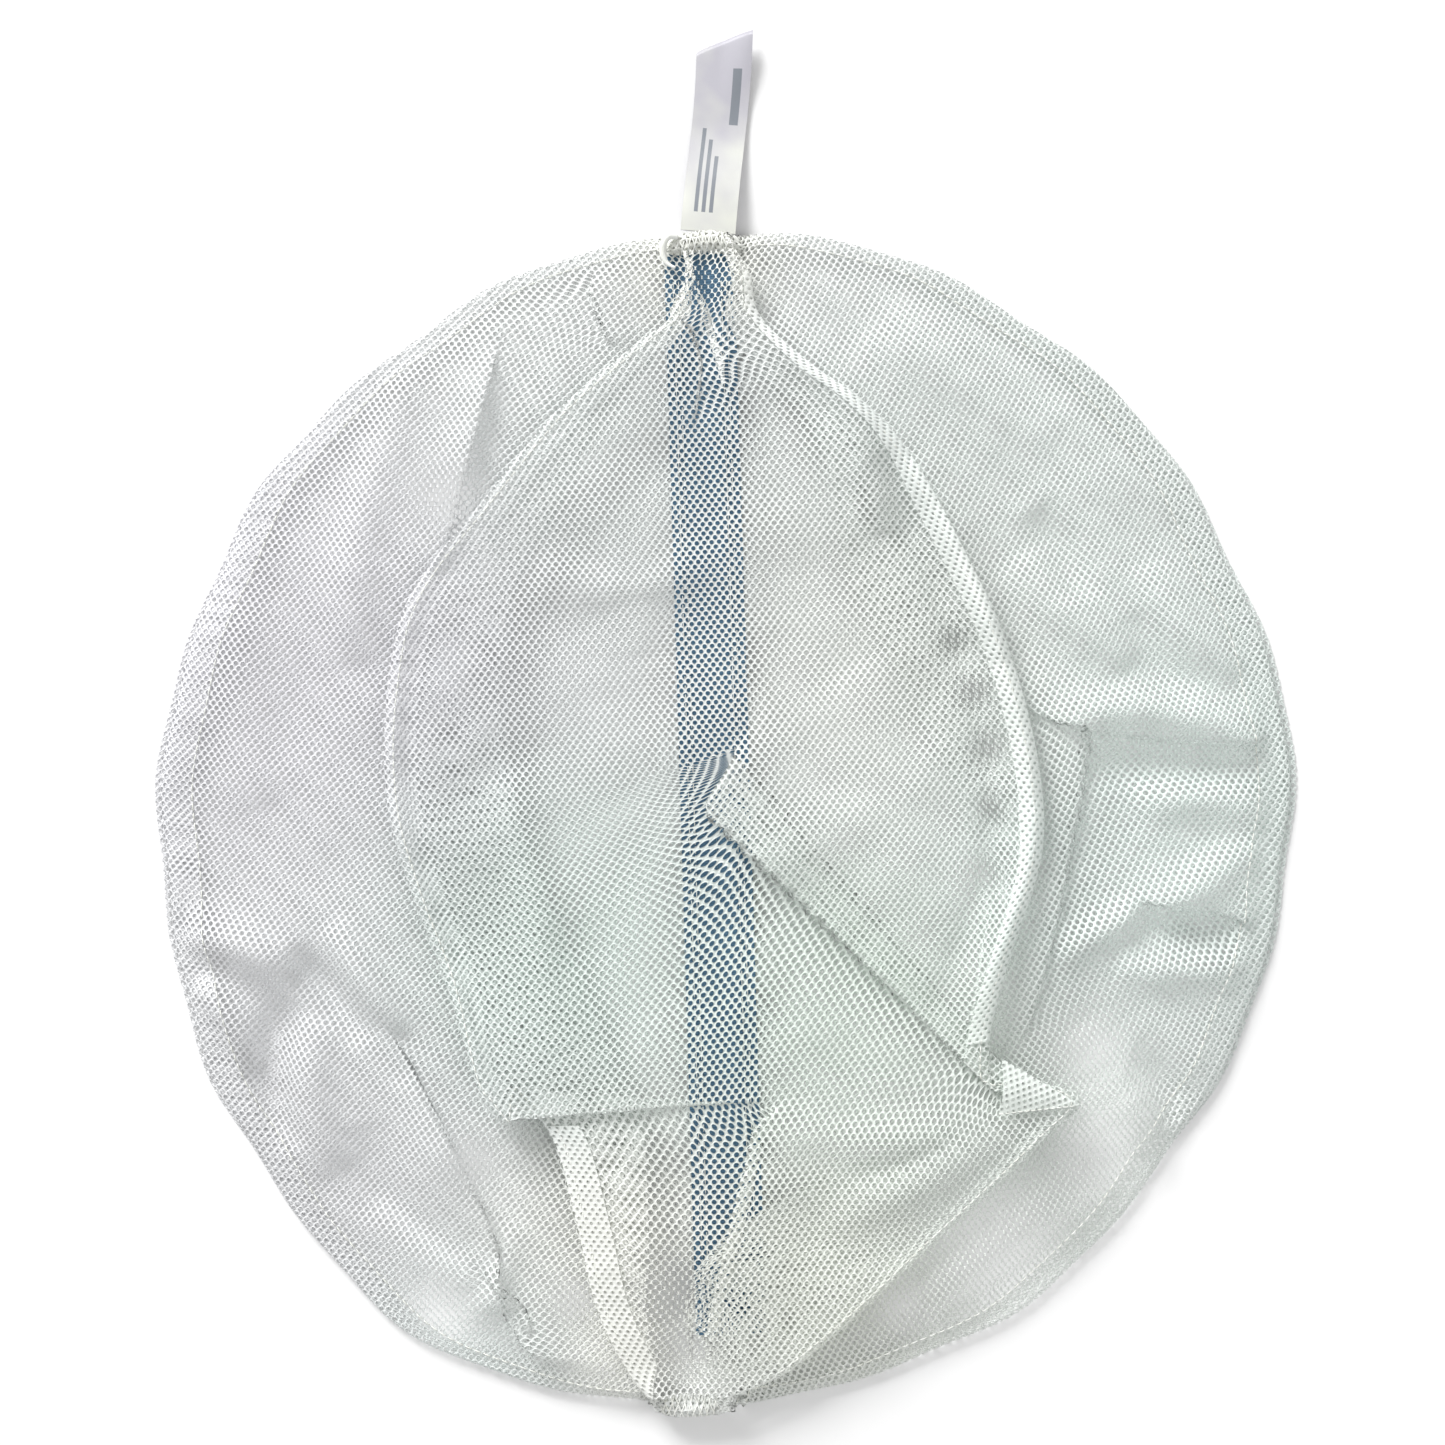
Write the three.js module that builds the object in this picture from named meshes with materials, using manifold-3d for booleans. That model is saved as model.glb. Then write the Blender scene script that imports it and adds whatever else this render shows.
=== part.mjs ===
// Mesh laundry bag, lying flat and empty with its zip underneath. Millimetres, +Z up.
// Five gores (lens-shaped mesh panels) run from pole to pole: two make the back, joined by the zip
// along x = 0, and three make the front. The side gores run in under the front gore and fold back
// to its seams. The bag rests on its back gores, and the zip's slider and pull hang in the hollow
// that the raised tape leaves over the surface below.
import * as THREE from "three";
import { mergeVertices } from "three/addons/utils/BufferGeometryUtils.js";
import Module from "manifold-3d";

const wasm = await Module();
wasm.setup();

// ---- outline and seams ------------------------------------------------------------------------
// Radius of the rim every 30 degrees, anticlockwise from +X.
const RIM_RADII = [205, 207, 212, 211, 205, 200, 198, 202, 213, 208, 205, 201];
const TOP_POLE_ANGLE = 89.3;
const LEFT_RIM_SWEEP = 176.6;
const RIGHT_RIM_SWEEP = -183.4;
// Distance of the front seams from the zip, at nine even stations from the top pole to the bottom.
const LEFT_SEAM_X = [-6, -23, -60, -108, -115, -90, -53, -38, -30];
const RIGHT_SEAM_X = [13, 18, 56, 95, 114, 104, 81, 30, 0];
const SEAM_HALF_LENGTH = 203;
const FIRST_STATION = 0.04;
const LAST_STATION = 0.945;
const STATION_COUNT = 22;

// ---- cloth ------------------------------------------------------------------------------------
const CLOTH = 0.8;
const SEAM_BAND = 1.6;
const GAP = 0.3;
const RIM_BAND_WIDTH = 8.7;
const INNER_BAND_WIDTH = 8;
const RIM_EDGE_INSET = 0.8;
const RIM_BAND_START = 0.06;
const RIM_BAND_END = { left: 0.94, right: 0.91 };
const RIM_BAND_STATIONS = 30;
const BACK_RIM_Z = 0.9;
// The back gores leave the surface below near the zip and end beside it.
const BACK_EDGE_X = 6;
const BACK_RISE_FROM_X = 35;
const BACK_RISE_TO_X = 17;
const HOLLOW_Z = { pole: 7.8, equator: 10.5 };
const FOLD_GAP = { pole: 2.6, equator: 3.4 };
const FRONT_MIDDLE_Z = { pole: 10.2, equator: 13.4 };
const FOLD_REACH = { pole: 7, equator: 45 };
const FOLD_BEND = 3;
const RETURN_RISE = 0.3;
const SEAM_SETBACK = 0.6;
const SHOULDER_RISE = 1.9;

// ---- zip --------------------------------------------------------------------------------------
const TAPE_UNDERSIDE = 5.6;
const TAPE_THICKNESS = 0.6;
const TAPE_INNER_X = 0.8;
const TAPE_OUTER_X = 12.5;
const TAPE_TOP_Y = 196;
const TAPE_BOTTOM_Y = -183;
const COIL_WIDTH = 2.2;
const COIL_HEIGHT = 1.3;
const COIL_TOP_Y = 187.5;
const COIL_BOTTOM_Y = -177.5;
const STOP_LENGTH = 2.6;
const SLIDER_LENGTH = 9;
const SLIDER_HALF_WIDTH = 3.8;
const SLIDER_Y = -171;
const SLIDER_PLATE = 1;
const SLIDER_INNER_PLATE = 0.8;
const SLIDER_CORNER = 1.6;
const POST_WIDTH = 1;
const GUIDE_WIDTH = 0.5;
const BOW_HALF_LENGTH = 2.75;
const BOW_HALF_WIDTH = 0.8;
const BOW_BOTTOM_Z = 0.6;
const BOW_THICKNESS = 0.6;
// How far parts that are one piece of metal run into each other.
const WELD = 0.4;
const PULL_AXIS_Z = 1.95;
const PULL_THICKNESS = 0.9;
const PULL_LENGTH = 21;
const PULL_HALF_WIDTH = 2.5;
const STOP_OVERHANG = 0.2;
const THREAD = 0.5;
const STITCH_X = 9.5;

// ---- ends -------------------------------------------------------------------------------------
const TACK_HALF_WIDTH = 11;
const TOP_TACK = { x: 2, y: 207, z: 6.8, height: 9.4 };
const BOTTOM_TACK = { x: -15, y: -207.6, z: 7, height: 9.4 };
const TACK_DEPTH = 7.4;
const TACK_SQUARENESS = 0.7;
const BACK_TAIL = { halfWidth: 5.4, bottom: -199, top: -184.5, z: 4.1 };
const LABEL_WIDTH = 19.6;
const LABEL_LEFT_LENGTH = 65.5;
const LABEL_RIGHT_LENGTH = 70.5;
const LABEL_BASE = { x: 3.4, y: 211.3, z: 4.6 };
const LABEL_LEAN = -6.5;
const LABEL_THICKNESS = 1.1;
const LABEL_LANDS_AT = 0.6;
const CURL = { x: -12.6, y: 208.2, z: 8, radius: 2.2, climb: 0.25, thread: 0.35 };

// ---- materials --------------------------------------------------------------------------------
function finish(color, roughness, metalness) {
  return new THREE.MeshStandardMaterial({ color, roughness, metalness });
}
const meshCloth = finish(0xeef1f1, 0.7, 0);
const seamThread = finish(0xf1f1ea, 0.8, 0);
const zipTape = finish(0x56799b, 0.85, 0);
const zipCoil = finish(0x4a6d90, 0.45, 0);
const zipMetal = finish(0x5a7b9a, 0.4, 0.6);
const satin = finish(0xf3f2ec, 0.35, 0);

const bag = new THREE.Group();

function add(name, geometry, material) {
  const mesh = new THREE.Mesh(geometry, material);
  mesh.name = name;
  bag.add(mesh);
  return mesh;
}

// ---- curves -----------------------------------------------------------------------------------
const mix = THREE.MathUtils.lerp;

/** Catmull-Rom value at a fractional index of a list, which may run round in a ring. */
function smoothAt(list, position, ring = false) {
  const count = list.length;
  const start = Math.min(Math.floor(position), ring ? Infinity : count - 2);
  const held = (i) => THREE.MathUtils.clamp(i, 0, count - 1);
  const pick = (i) => list[ring ? ((i % count) + count) % count : held(i)];
  const t = position - start;
  const [a, b, c, d] = [-1, 0, 1, 2].map((step) => pick(start + step));
  return b + 0.5 * t * (c - a + t * (2 * a - 5 * b + 4 * c - d + t * (3 * (b - c) + d - a)));
}

/** Point of the rim at an angle in degrees, moved in by inset. */
function rimPoint(angle, inset = 0) {
  const turned = (angle + 360) % 360;
  const radius = smoothAt(RIM_RADII, turned / 30, true) - inset;
  const radians = THREE.MathUtils.degToRad(angle);
  return new THREE.Vector2(radius * Math.cos(radians), radius * Math.sin(radians));
}

/** How full the bag is at a station: 0 at the poles, 1 at the equator. */
const fullness = (station) => Math.sin(Math.PI * station);

const between = (range, station) => mix(range.pole, range.equator, fullness(station));

const sides = {
  left: { sweep: LEFT_RIM_SWEEP, seam: LEFT_SEAM_X, inward: 1, bandEnd: RIM_BAND_END.left },
  right: { sweep: RIGHT_RIM_SWEEP, seam: RIGHT_SEAM_X, inward: -1, bandEnd: RIM_BAND_END.right },
};

const rimAngle = (side, station) => TOP_POLE_ANGLE + side.sweep * station;
const seamX = (side, station) => smoothAt(side.seam, station * (side.seam.length - 1));
const seamY = (station) => SEAM_HALF_LENGTH * Math.cos(Math.PI * station);

/** Smooth row through a profile of [x, z] pairs, in steps even on each span and clear of the ground. */
function rowThrough(profile, yAt, spanSteps) {
  const corners = profile.map(([x, z]) => new THREE.Vector3(x, 0, z));
  const curve = new THREE.CatmullRomCurve3(corners, false, "centripetal");
  const points = curve.getPoints(spanSteps * (profile.length - 1));
  return points.map((p) => new THREE.Vector3(p.x, yAt(p.x), Math.max(p.z, CLOTH / 2)));
}

function stations(first = FIRST_STATION, last = LAST_STATION, count = STATION_COUNT) {
  return Array.from({ length: count }, (_, i) => mix(first, last, i / (count - 1)));
}

// ---- solids -----------------------------------------------------------------------------------
function signedVolume(positions, triangles) {
  let total = 0;
  for (let i = 0; i < triangles.length; i += 3) {
    const [a, b, c] = [0, 1, 2].map((k) => new THREE.Vector3().fromArray(positions, 3 * triangles[i + k]));
    total += a.dot(b.cross(c)) / 6;
  }
  return total;
}

/** Closed sheet of even thickness about a grid of mid-surface points. */
function sheetSolid(rows, thickness) {
  const down = rows.length;
  const across = rows[0].length;
  const positions = [];
  const normalAt = (i, j) => {
    const along = rows[Math.min(i + 1, down - 1)][j].clone().sub(rows[Math.max(i - 1, 0)][j]);
    const over = rows[i][Math.min(j + 1, across - 1)].clone().sub(rows[i][Math.max(j - 1, 0)]);
    return over.cross(along).normalize();
  };
  for (const side of [0.5, -0.5]) {
    for (let i = 0; i < down; i += 1) {
      for (let j = 0; j < across; j += 1) {
        const point = rows[i][j].clone().addScaledVector(normalAt(i, j), side * thickness);
        positions.push(point.x, point.y, point.z);
      }
    }
  }
  const index = (side, i, j) => side * down * across + i * across + j;
  let triangles = [];
  const quad = (a, b, c, d) => triangles.push(a, b, c, a, c, d);
  for (let i = 0; i < down - 1; i += 1) {
    for (let j = 0; j < across - 1; j += 1) {
      quad(index(0, i, j), index(0, i, j + 1), index(0, i + 1, j + 1), index(0, i + 1, j));
      quad(index(1, i, j), index(1, i + 1, j), index(1, i + 1, j + 1), index(1, i, j + 1));
    }
  }
  for (let i = 0; i < down - 1; i += 1) {
    quad(index(0, i, 0), index(0, i + 1, 0), index(1, i + 1, 0), index(1, i, 0));
    const j = across - 1;
    quad(index(0, i, j), index(1, i, j), index(1, i + 1, j), index(0, i + 1, j));
  }
  for (let j = 0; j < across - 1; j += 1) {
    quad(index(0, 0, j), index(1, 0, j), index(1, 0, j + 1), index(0, 0, j + 1));
    const i = down - 1;
    quad(index(0, i, j), index(0, i, j + 1), index(1, i, j + 1), index(1, i, j));
  }
  if (signedVolume(positions, triangles) < 0) triangles = triangles.reverse();
  const geometry = new THREE.BufferGeometry();
  geometry.setAttribute("position", new THREE.Float32BufferAttribute(positions, 3));
  geometry.setIndex(triangles);
  geometry.computeVertexNormals();
  return geometry;
}

/** Box between two corners. */
function boxBetween(low, high) {
  const size = high.map((value, axis) => value - low[axis]);
  const geometry = new THREE.BoxGeometry(...size);
  return geometry.translate(...low.map((value, axis) => value + size[axis] / 2));
}

/** Outline in X and Y, pushed up from z for height. */
function extrudeUp(shape, z, height, curveSegments = 6) {
  const geometry = new THREE.ExtrudeGeometry(shape, { depth: height, bevelEnabled: false, curveSegments });
  return geometry.translate(0, 0, z);
}

/** Section in X and Z, drawn along Y from low to high. */
function extrudeAlongY(shape, low, high, curveSegments = 3) {
  const depth = high - low;
  const geometry = new THREE.ExtrudeGeometry(shape, { depth, bevelEnabled: false, curveSegments });
  return geometry.rotateX(Math.PI / 2).translate(0, high, 0);
}

function toManifold(geometry) {
  const bare = geometry.clone();
  bare.deleteAttribute("normal");
  bare.deleteAttribute("uv");
  const merged = mergeVertices(bare, 1e-4);
  return new wasm.Manifold(new wasm.Mesh({
    numProp: 3,
    vertProperties: new Float32Array(merged.attributes.position.array),
    triVerts: new Uint32Array(merged.index.array),
  }));
}

function toGeometry(manifold) {
  const mesh = manifold.getMesh();
  const geometry = new THREE.BufferGeometry();
  geometry.setAttribute("position", new THREE.BufferAttribute(mesh.vertProperties, 3));
  geometry.setIndex(new THREE.BufferAttribute(mesh.triVerts, 1));
  geometry.computeVertexNormals();
  return geometry;
}

const joined = (parts) => toGeometry(parts.map(toManifold).reduce((sum, part) => sum.add(part)));

/** Rectangle with round corners. */
function roundedShape(left, bottom, right, top, radius) {
  const shape = new THREE.Shape();
  shape.moveTo(left + radius, bottom);
  shape.lineTo(right - radius, bottom);
  shape.absarc(right - radius, bottom + radius, radius, -Math.PI / 2, 0);
  shape.lineTo(right, top - radius);
  shape.absarc(right - radius, top - radius, radius, 0, Math.PI / 2);
  shape.lineTo(left + radius, top);
  shape.absarc(left + radius, top - radius, radius, Math.PI / 2, Math.PI);
  shape.lineTo(left, bottom + radius);
  shape.absarc(left + radius, bottom + radius, radius, Math.PI, 1.5 * Math.PI);
  return shape;
}

// ---- gores ------------------------------------------------------------------------------------
const BACK_STEPS = 2;
const SIDE_STEPS = 4;
const FRONT_STEPS = 3;
const PANEL_UNDER_TAPE_Z = TAPE_UNDERSIDE - GAP - CLOTH / 2;
const RIM_BAND_Z = BACK_RIM_Z + CLOTH / 2 + GAP + SEAM_BAND / 2;
const SIDE_RIM_Z = RIM_BAND_Z + SEAM_BAND / 2 + GAP + CLOTH / 2;

const lowerZ = (station) => between(HOLLOW_Z, station);
const returnZ = (station) => lowerZ(station) + between(FOLD_GAP, station);
const innerBandZ = (station) => returnZ(station) + RETURN_RISE + CLOTH / 2 + GAP + SEAM_BAND / 2;
const frontEdgeZ = (station) => innerBandZ(station) + SEAM_BAND / 2 + GAP + CLOTH / 2;
const foldReach = (station) => mix(FOLD_REACH.pole, FOLD_REACH.equator, fullness(station) ** 2);
const innerBandWidth = (station) => Math.min(INNER_BAND_WIDTH, 0.5 * foldReach(station));

/** y of a point of a row, from the rim's at x = rim.x to the seam's at x = innerX. */
function rowY(rim, innerX, station) {
  return (x) => {
    const t = THREE.MathUtils.clamp((x - rim.x) / (innerX - rim.x), 0, 1);
    return mix(rim.y, seamY(station), t);
  };
}

/** Back gore: flat on the surface below, and up to the zip tape's underside. */
function backGore(side) {
  const rows = stations().map((station) => {
    const rim = rimPoint(rimAngle(side, station));
    const way = side.inward;
    const zipEdge = -way * BACK_EDGE_X;
    const flatFrom = mix(rim.x, zipEdge, 0.06);
    const riseFrom = -way * Math.min(BACK_RISE_FROM_X, Math.abs(rim.x) * 0.75 + 2);
    const riseTo = -way * Math.min(BACK_RISE_TO_X, mix(BACK_EDGE_X, Math.abs(riseFrom), 0.5));
    const profile = [
      [rim.x, BACK_RIM_Z],
      [flatFrom, CLOTH / 2],
      [mix(flatFrom, riseFrom, 0.5), CLOTH / 2],
      [riseFrom, CLOTH / 2],
      [riseTo, mix(PANEL_UNDER_TAPE_Z, CLOTH / 2, 0.1)],
      [zipEdge, PANEL_UNDER_TAPE_Z],
    ];
    return rowThrough(profile, rowY(rim, zipEdge, station), BACK_STEPS);
  });
  return sheetSolid(rows, CLOTH);
}

/** Side gore: in from the rim, under the front gore, and folded back to the inner seam. */
function sideGore(side) {
  const rows = stations().map((station) => {
    const rim = rimPoint(rimAngle(side, station));
    const way = side.inward;
    const seam = seamX(side, station);
    const reach = foldReach(station);
    const foldX = seam + way * reach;
    const low = lowerZ(station);
    const high = returnZ(station);
    const bend = Math.min(FOLD_BEND, 0.4 * reach);
    const profile = [
      [rim.x, SIDE_RIM_Z],
      [mix(rim.x, seam, 0.13), SIDE_RIM_Z + RETURN_RISE],
      [mix(rim.x, seam, 0.6), mix(SIDE_RIM_Z, low, 0.7)],
      [foldX - way * bend, low],
      [foldX, (low + high) / 2],
      [foldX - way * bend, high],
      [seam + way * SEAM_SETBACK, high + RETURN_RISE],
    ];
    return rowThrough(profile, rowY(rim, seam, station), SIDE_STEPS);
  });
  return sheetSolid(rows, CLOTH);
}

/** Front gore: over both folds, sagging between them. */
function frontGore() {
  const rows = stations().map((station) => {
    const leftX = seamX(sides.left, station);
    const rightX = seamX(sides.right, station);
    const edge = frontEdgeZ(station);
    const shoulder = mix(edge, returnZ(station) + SHOULDER_RISE, fullness(station));
    const reach = foldReach(station);
    const level = innerBandWidth(station) + 2 * CLOTH;
    const profile = [
      [leftX, edge],
      [leftX + level, edge],
      [leftX + reach, shoulder],
      [(leftX + rightX) / 2, between(FRONT_MIDDLE_Z, station)],
      [rightX - reach, shoulder],
      [rightX - level, edge],
      [rightX, edge],
    ];
    return rowThrough(profile, () => seamY(station), FRONT_STEPS);
  });
  return sheetSolid(rows, CLOTH);
}

/** Seam allowance along the rim, between the back gore and the side gore. */
function rimSeam(side) {
  const rows = stations(RIM_BAND_START, side.bandEnd, RIM_BAND_STATIONS).map((station) => {
    const angle = rimAngle(side, station);
    return [0, 0.5, 1].map((t) => {
      const point = rimPoint(angle, RIM_EDGE_INSET + t * RIM_BAND_WIDTH);
      return new THREE.Vector3(point.x, point.y, RIM_BAND_Z);
    });
  });
  return sheetSolid(rows, SEAM_BAND);
}

/** Seam allowance between a side gore's return and the front gore. */
function innerSeam(side) {
  const rows = stations().map((station) => {
    const x = seamX(side, station) + side.inward * SEAM_SETBACK;
    const reach = side.inward * innerBandWidth(station);
    return [0, 0.5, 1].map((t) => new THREE.Vector3(x + t * reach, seamY(station), innerBandZ(station)));
  });
  return sheetSolid(rows, SEAM_BAND);
}

// ---- zip --------------------------------------------------------------------------------------
const COIL_TOP_Z = TAPE_UNDERSIDE - GAP;
const TAPE_TOP_Z = TAPE_UNDERSIDE + TAPE_THICKNESS;
const SLIDER_PLATE_TOP = COIL_TOP_Z - COIL_HEIGHT - GAP;
const SLIDER_PLATE_BOTTOM = SLIDER_PLATE_TOP - SLIDER_PLATE;
const STOP_REACH = TAPE_INNER_X + COIL_WIDTH + STOP_OVERHANG;

/** x range from near to far on one side of the zip, in rising order. */
const onSide = (way, near, far) => (way > 0 ? [near, far] : [-far, -near]);

function zipTapeHalf(way) {
  const [left, right] = onSide(way, TAPE_INNER_X, TAPE_OUTER_X);
  const outline = roundedShape(left, TAPE_BOTTOM_Y, right, TAPE_TOP_Y, 1);
  return extrudeUp(outline, TAPE_UNDERSIDE, TAPE_THICKNESS, 3);
}

function zipCoilRow(way) {
  const [left, right] = onSide(way, TAPE_INNER_X, TAPE_INNER_X + COIL_WIDTH);
  const section = roundedShape(left, COIL_TOP_Z - COIL_HEIGHT, right, COIL_TOP_Z, 0.5);
  return extrudeAlongY(section, COIL_BOTTOM_Y, COIL_TOP_Y);
}

/** Crimped metal stop over the end of one coil row, or over both rows. */
function zipStop(left, right, low) {
  const outline = roundedShape(left, low, right, low + STOP_LENGTH, 0.5);
  return extrudeUp(outline, COIL_TOP_Z - COIL_HEIGHT - STOP_OVERHANG, COIL_HEIGHT + STOP_OVERHANG, 3);
}

/** Slider: two plates joined by a post between the tapes, coil guides, and a bow for the pull. */
function zipSlider() {
  const low = SLIDER_Y - SLIDER_LENGTH / 2;
  const high = SLIDER_Y + SLIDER_LENGTH / 2;
  const half = SLIDER_HALF_WIDTH;
  const innerPlateZ = TAPE_TOP_Z + GAP;
  const outline = roundedShape(-half, low, half, high, SLIDER_CORNER);
  const plate = extrudeUp(outline, SLIDER_PLATE_BOTTOM, SLIDER_PLATE, 4);
  const innerPlate = extrudeUp(outline, innerPlateZ, SLIDER_INNER_PLATE, 4);
  const post = boxBetween(
    [-POST_WIDTH / 2, high - 4, SLIDER_PLATE_TOP - WELD],
    [POST_WIDTH / 2, high - 1.2, innerPlateZ + WELD],
  );
  const guides = [-1, 1].map((way) => {
    const [left, right] = onSide(way, half - GUIDE_WIDTH, half);
    return boxBetween([left, low + 1.8, SLIDER_PLATE_TOP - WELD], [right, high - 1.8, TAPE_UNDERSIDE - GAP]);
  });
  const bow = BOW_HALF_LENGTH;
  const wide = BOW_HALF_WIDTH;
  const legs = [-1, 1].map((way) => {
    const [near, far] = onSide(way, bow - BOW_HALF_WIDTH, bow);
    const top = SLIDER_PLATE_BOTTOM + WELD;
    return boxBetween([-wide, SLIDER_Y + near, BOW_BOTTOM_Z], [wide, SLIDER_Y + far, top]);
  });
  const bridgeTop = BOW_BOTTOM_Z + BOW_THICKNESS;
  const bridge = boxBetween([-wide, SLIDER_Y - bow, BOW_BOTTOM_Z], [wide, SLIDER_Y + bow, bridgeTop]);
  return joined([plate, innerPlate, post, ...guides, ...legs, bridge]);
}

/** Pull: a flat tab with a window, whose end bar lies in the slider's bow. */
function zipPull() {
  const bar = PULL_THICKNESS / 2;
  const outline = roundedShape(-PULL_HALF_WIDTH, -bar, PULL_HALF_WIDTH, PULL_LENGTH, 0.4);
  outline.holes.push(roundedShape(-1.25, bar, 1.25, 4.2, 0.4));
  outline.holes.push(roundedShape(-0.9, PULL_LENGTH - 5, 0.9, PULL_LENGTH - 2, 0.6));
  return extrudeUp(outline, -bar, PULL_THICKNESS, 3);
}

/** Sewing thread that holds a tape half to its gore. */
function tapeStitch(way) {
  const [left, right] = onSide(way, STITCH_X, STITCH_X + THREAD);
  const low = TAPE_TOP_Z + GAP;
  const section = roundedShape(left, low, right, low + THREAD, 0.15);
  return extrudeAlongY(section, TAPE_BOTTOM_Y + 2, TAPE_TOP_Y - 3, 1);
}

// ---- ends -------------------------------------------------------------------------------------
/** Gathered knot of thread and cloth at a pole. */
function barTack({ x, y, z, height }) {
  const knot = new THREE.SphereGeometry(1, 14, 8);
  knot.rotateX(Math.PI / 2);
  const positions = knot.attributes.position;
  const half = new THREE.Vector3(TACK_HALF_WIDTH, TACK_DEPTH / 2, height / 2);
  const squarer = (v) => Math.sign(v) * Math.abs(v) ** TACK_SQUARENESS;
  for (let i = 0; i < positions.count; i += 1) {
    const point = new THREE.Vector3().fromBufferAttribute(positions, i);
    point.set(squarer(point.x), squarer(point.y), squarer(point.z));
    point.divideScalar(Math.max(1, point.length())).multiply(half);
    positions.setXYZ(i, point.x, point.y, point.z);
  }
  return toGeometry(toManifold(knot.translate(x, y, z)));
}

/** Folded ribbon label: its slanted end falls to the surface below. */
function careLabel() {
  const steps = 12;
  const rows = Array.from({ length: steps + 1 }, (_, i) => {
    const t = i / steps;
    return [-1, -0.5, 0, 0.5, 1].map((across) => {
      const length = mix(LABEL_LEFT_LENGTH, LABEL_RIGHT_LENGTH, (across + 1) / 2);
      const z = mix(LABEL_BASE.z, LABEL_THICKNESS / 2, THREE.MathUtils.smoothstep(t, 0, LABEL_LANDS_AT));
      return new THREE.Vector3(across * LABEL_WIDTH / 2, t * length, z);
    });
  });
  const geometry = sheetSolid(rows, LABEL_THICKNESS);
  return geometry.rotateZ(THREE.MathUtils.degToRad(LABEL_LEAN)).translate(LABEL_BASE.x, LABEL_BASE.y, 0);
}

/** Loose curl of sewing thread beside the top knot. */
function threadEnd() {
  const points = Array.from({ length: 9 }, (_, i) => {
    const angle = mix(0.4, 5.2, i / 8);
    const x = CURL.x + CURL.radius * Math.cos(angle);
    const y = CURL.y + CURL.radius * Math.sin(angle);
    return new THREE.Vector3(x, y, CURL.z + CURL.climb * i);
  });
  const section = new THREE.Shape().absarc(0, 0, CURL.thread, 0, 2 * Math.PI);
  const extrudePath = new THREE.CatmullRomCurve3(points);
  const settings = { steps: 16, curveSegments: 3, extrudePath, bevelEnabled: false };
  return new THREE.ExtrudeGeometry(section, settings);
}

/** Where the two back gores are sewn together below the zip. */
function backSeamTail() {
  const { halfWidth, bottom, top, z } = BACK_TAIL;
  return extrudeUp(roundedShape(-halfWidth, bottom, halfWidth, top, 1), z, SEAM_BAND, 3);
}

// ---- assembly ---------------------------------------------------------------------------------
for (const [name, side] of Object.entries(sides)) {
  const way = -side.inward;
  add(`back_gore_${name}`, backGore(side), meshCloth);
  add(`side_gore_${name}`, sideGore(side), meshCloth);
  add(`rim_seam_${name}`, rimSeam(side), seamThread);
  add(`front_seam_${name}`, innerSeam(side), seamThread);
  add(`zip_tape_${name}`, zipTapeHalf(way), zipTape);
  add(`zip_coil_${name}`, zipCoilRow(way), zipCoil);
  add(`zip_stitch_${name}`, tapeStitch(way), zipTape);
  const [left, right] = onSide(way, TAPE_INNER_X, STOP_REACH);
  add(`zip_closed_stop_${name}`, zipStop(left, right, COIL_BOTTOM_Y - GAP - STOP_LENGTH), zipMetal);
}
add("zip_open_stop", zipStop(-STOP_REACH, STOP_REACH, COIL_TOP_Y + GAP), zipMetal);
add("front_gore", frontGore(), meshCloth);
add("back_seam_tail", backSeamTail(), seamThread);
add("top_bar_tack", barTack(TOP_TACK), seamThread);
add("bottom_bar_tack", barTack(BOTTOM_TACK), seamThread);
add("care_label", careLabel(), satin);
add("thread_end", threadEnd(), seamThread);
add("zip_slider", zipSlider(), zipMetal);
add("zip_pull", zipPull(), zipMetal).position.set(0, SLIDER_Y, PULL_AXIS_Z);

// The origin is at the middle of the bag's box, on the surface below.
const box = new THREE.Box3().setFromObject(bag, true);
bag.position.set(-(box.min.x + box.max.x) / 2, -(box.min.y + box.max.y) / 2, -box.min.z);

export default bag;
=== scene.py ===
"""Mesh laundry bag, lying flat and empty: the cloth, seams, zip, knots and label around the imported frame."""
import math

import bpy
import numpy as np
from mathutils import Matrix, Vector, noise


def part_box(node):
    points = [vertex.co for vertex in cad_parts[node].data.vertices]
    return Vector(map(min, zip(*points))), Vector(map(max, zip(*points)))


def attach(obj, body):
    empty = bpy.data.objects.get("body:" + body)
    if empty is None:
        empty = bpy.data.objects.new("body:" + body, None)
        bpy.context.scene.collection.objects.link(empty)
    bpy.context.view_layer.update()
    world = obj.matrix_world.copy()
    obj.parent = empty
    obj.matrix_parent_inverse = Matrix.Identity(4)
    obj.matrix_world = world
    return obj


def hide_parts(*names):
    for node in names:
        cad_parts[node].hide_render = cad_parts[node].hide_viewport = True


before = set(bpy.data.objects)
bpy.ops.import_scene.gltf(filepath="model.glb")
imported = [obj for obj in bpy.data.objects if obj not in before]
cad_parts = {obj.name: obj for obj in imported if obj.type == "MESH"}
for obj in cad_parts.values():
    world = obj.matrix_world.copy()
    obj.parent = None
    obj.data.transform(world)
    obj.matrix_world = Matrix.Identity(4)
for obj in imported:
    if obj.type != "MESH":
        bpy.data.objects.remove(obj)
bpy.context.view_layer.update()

MM = 0.001

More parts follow.
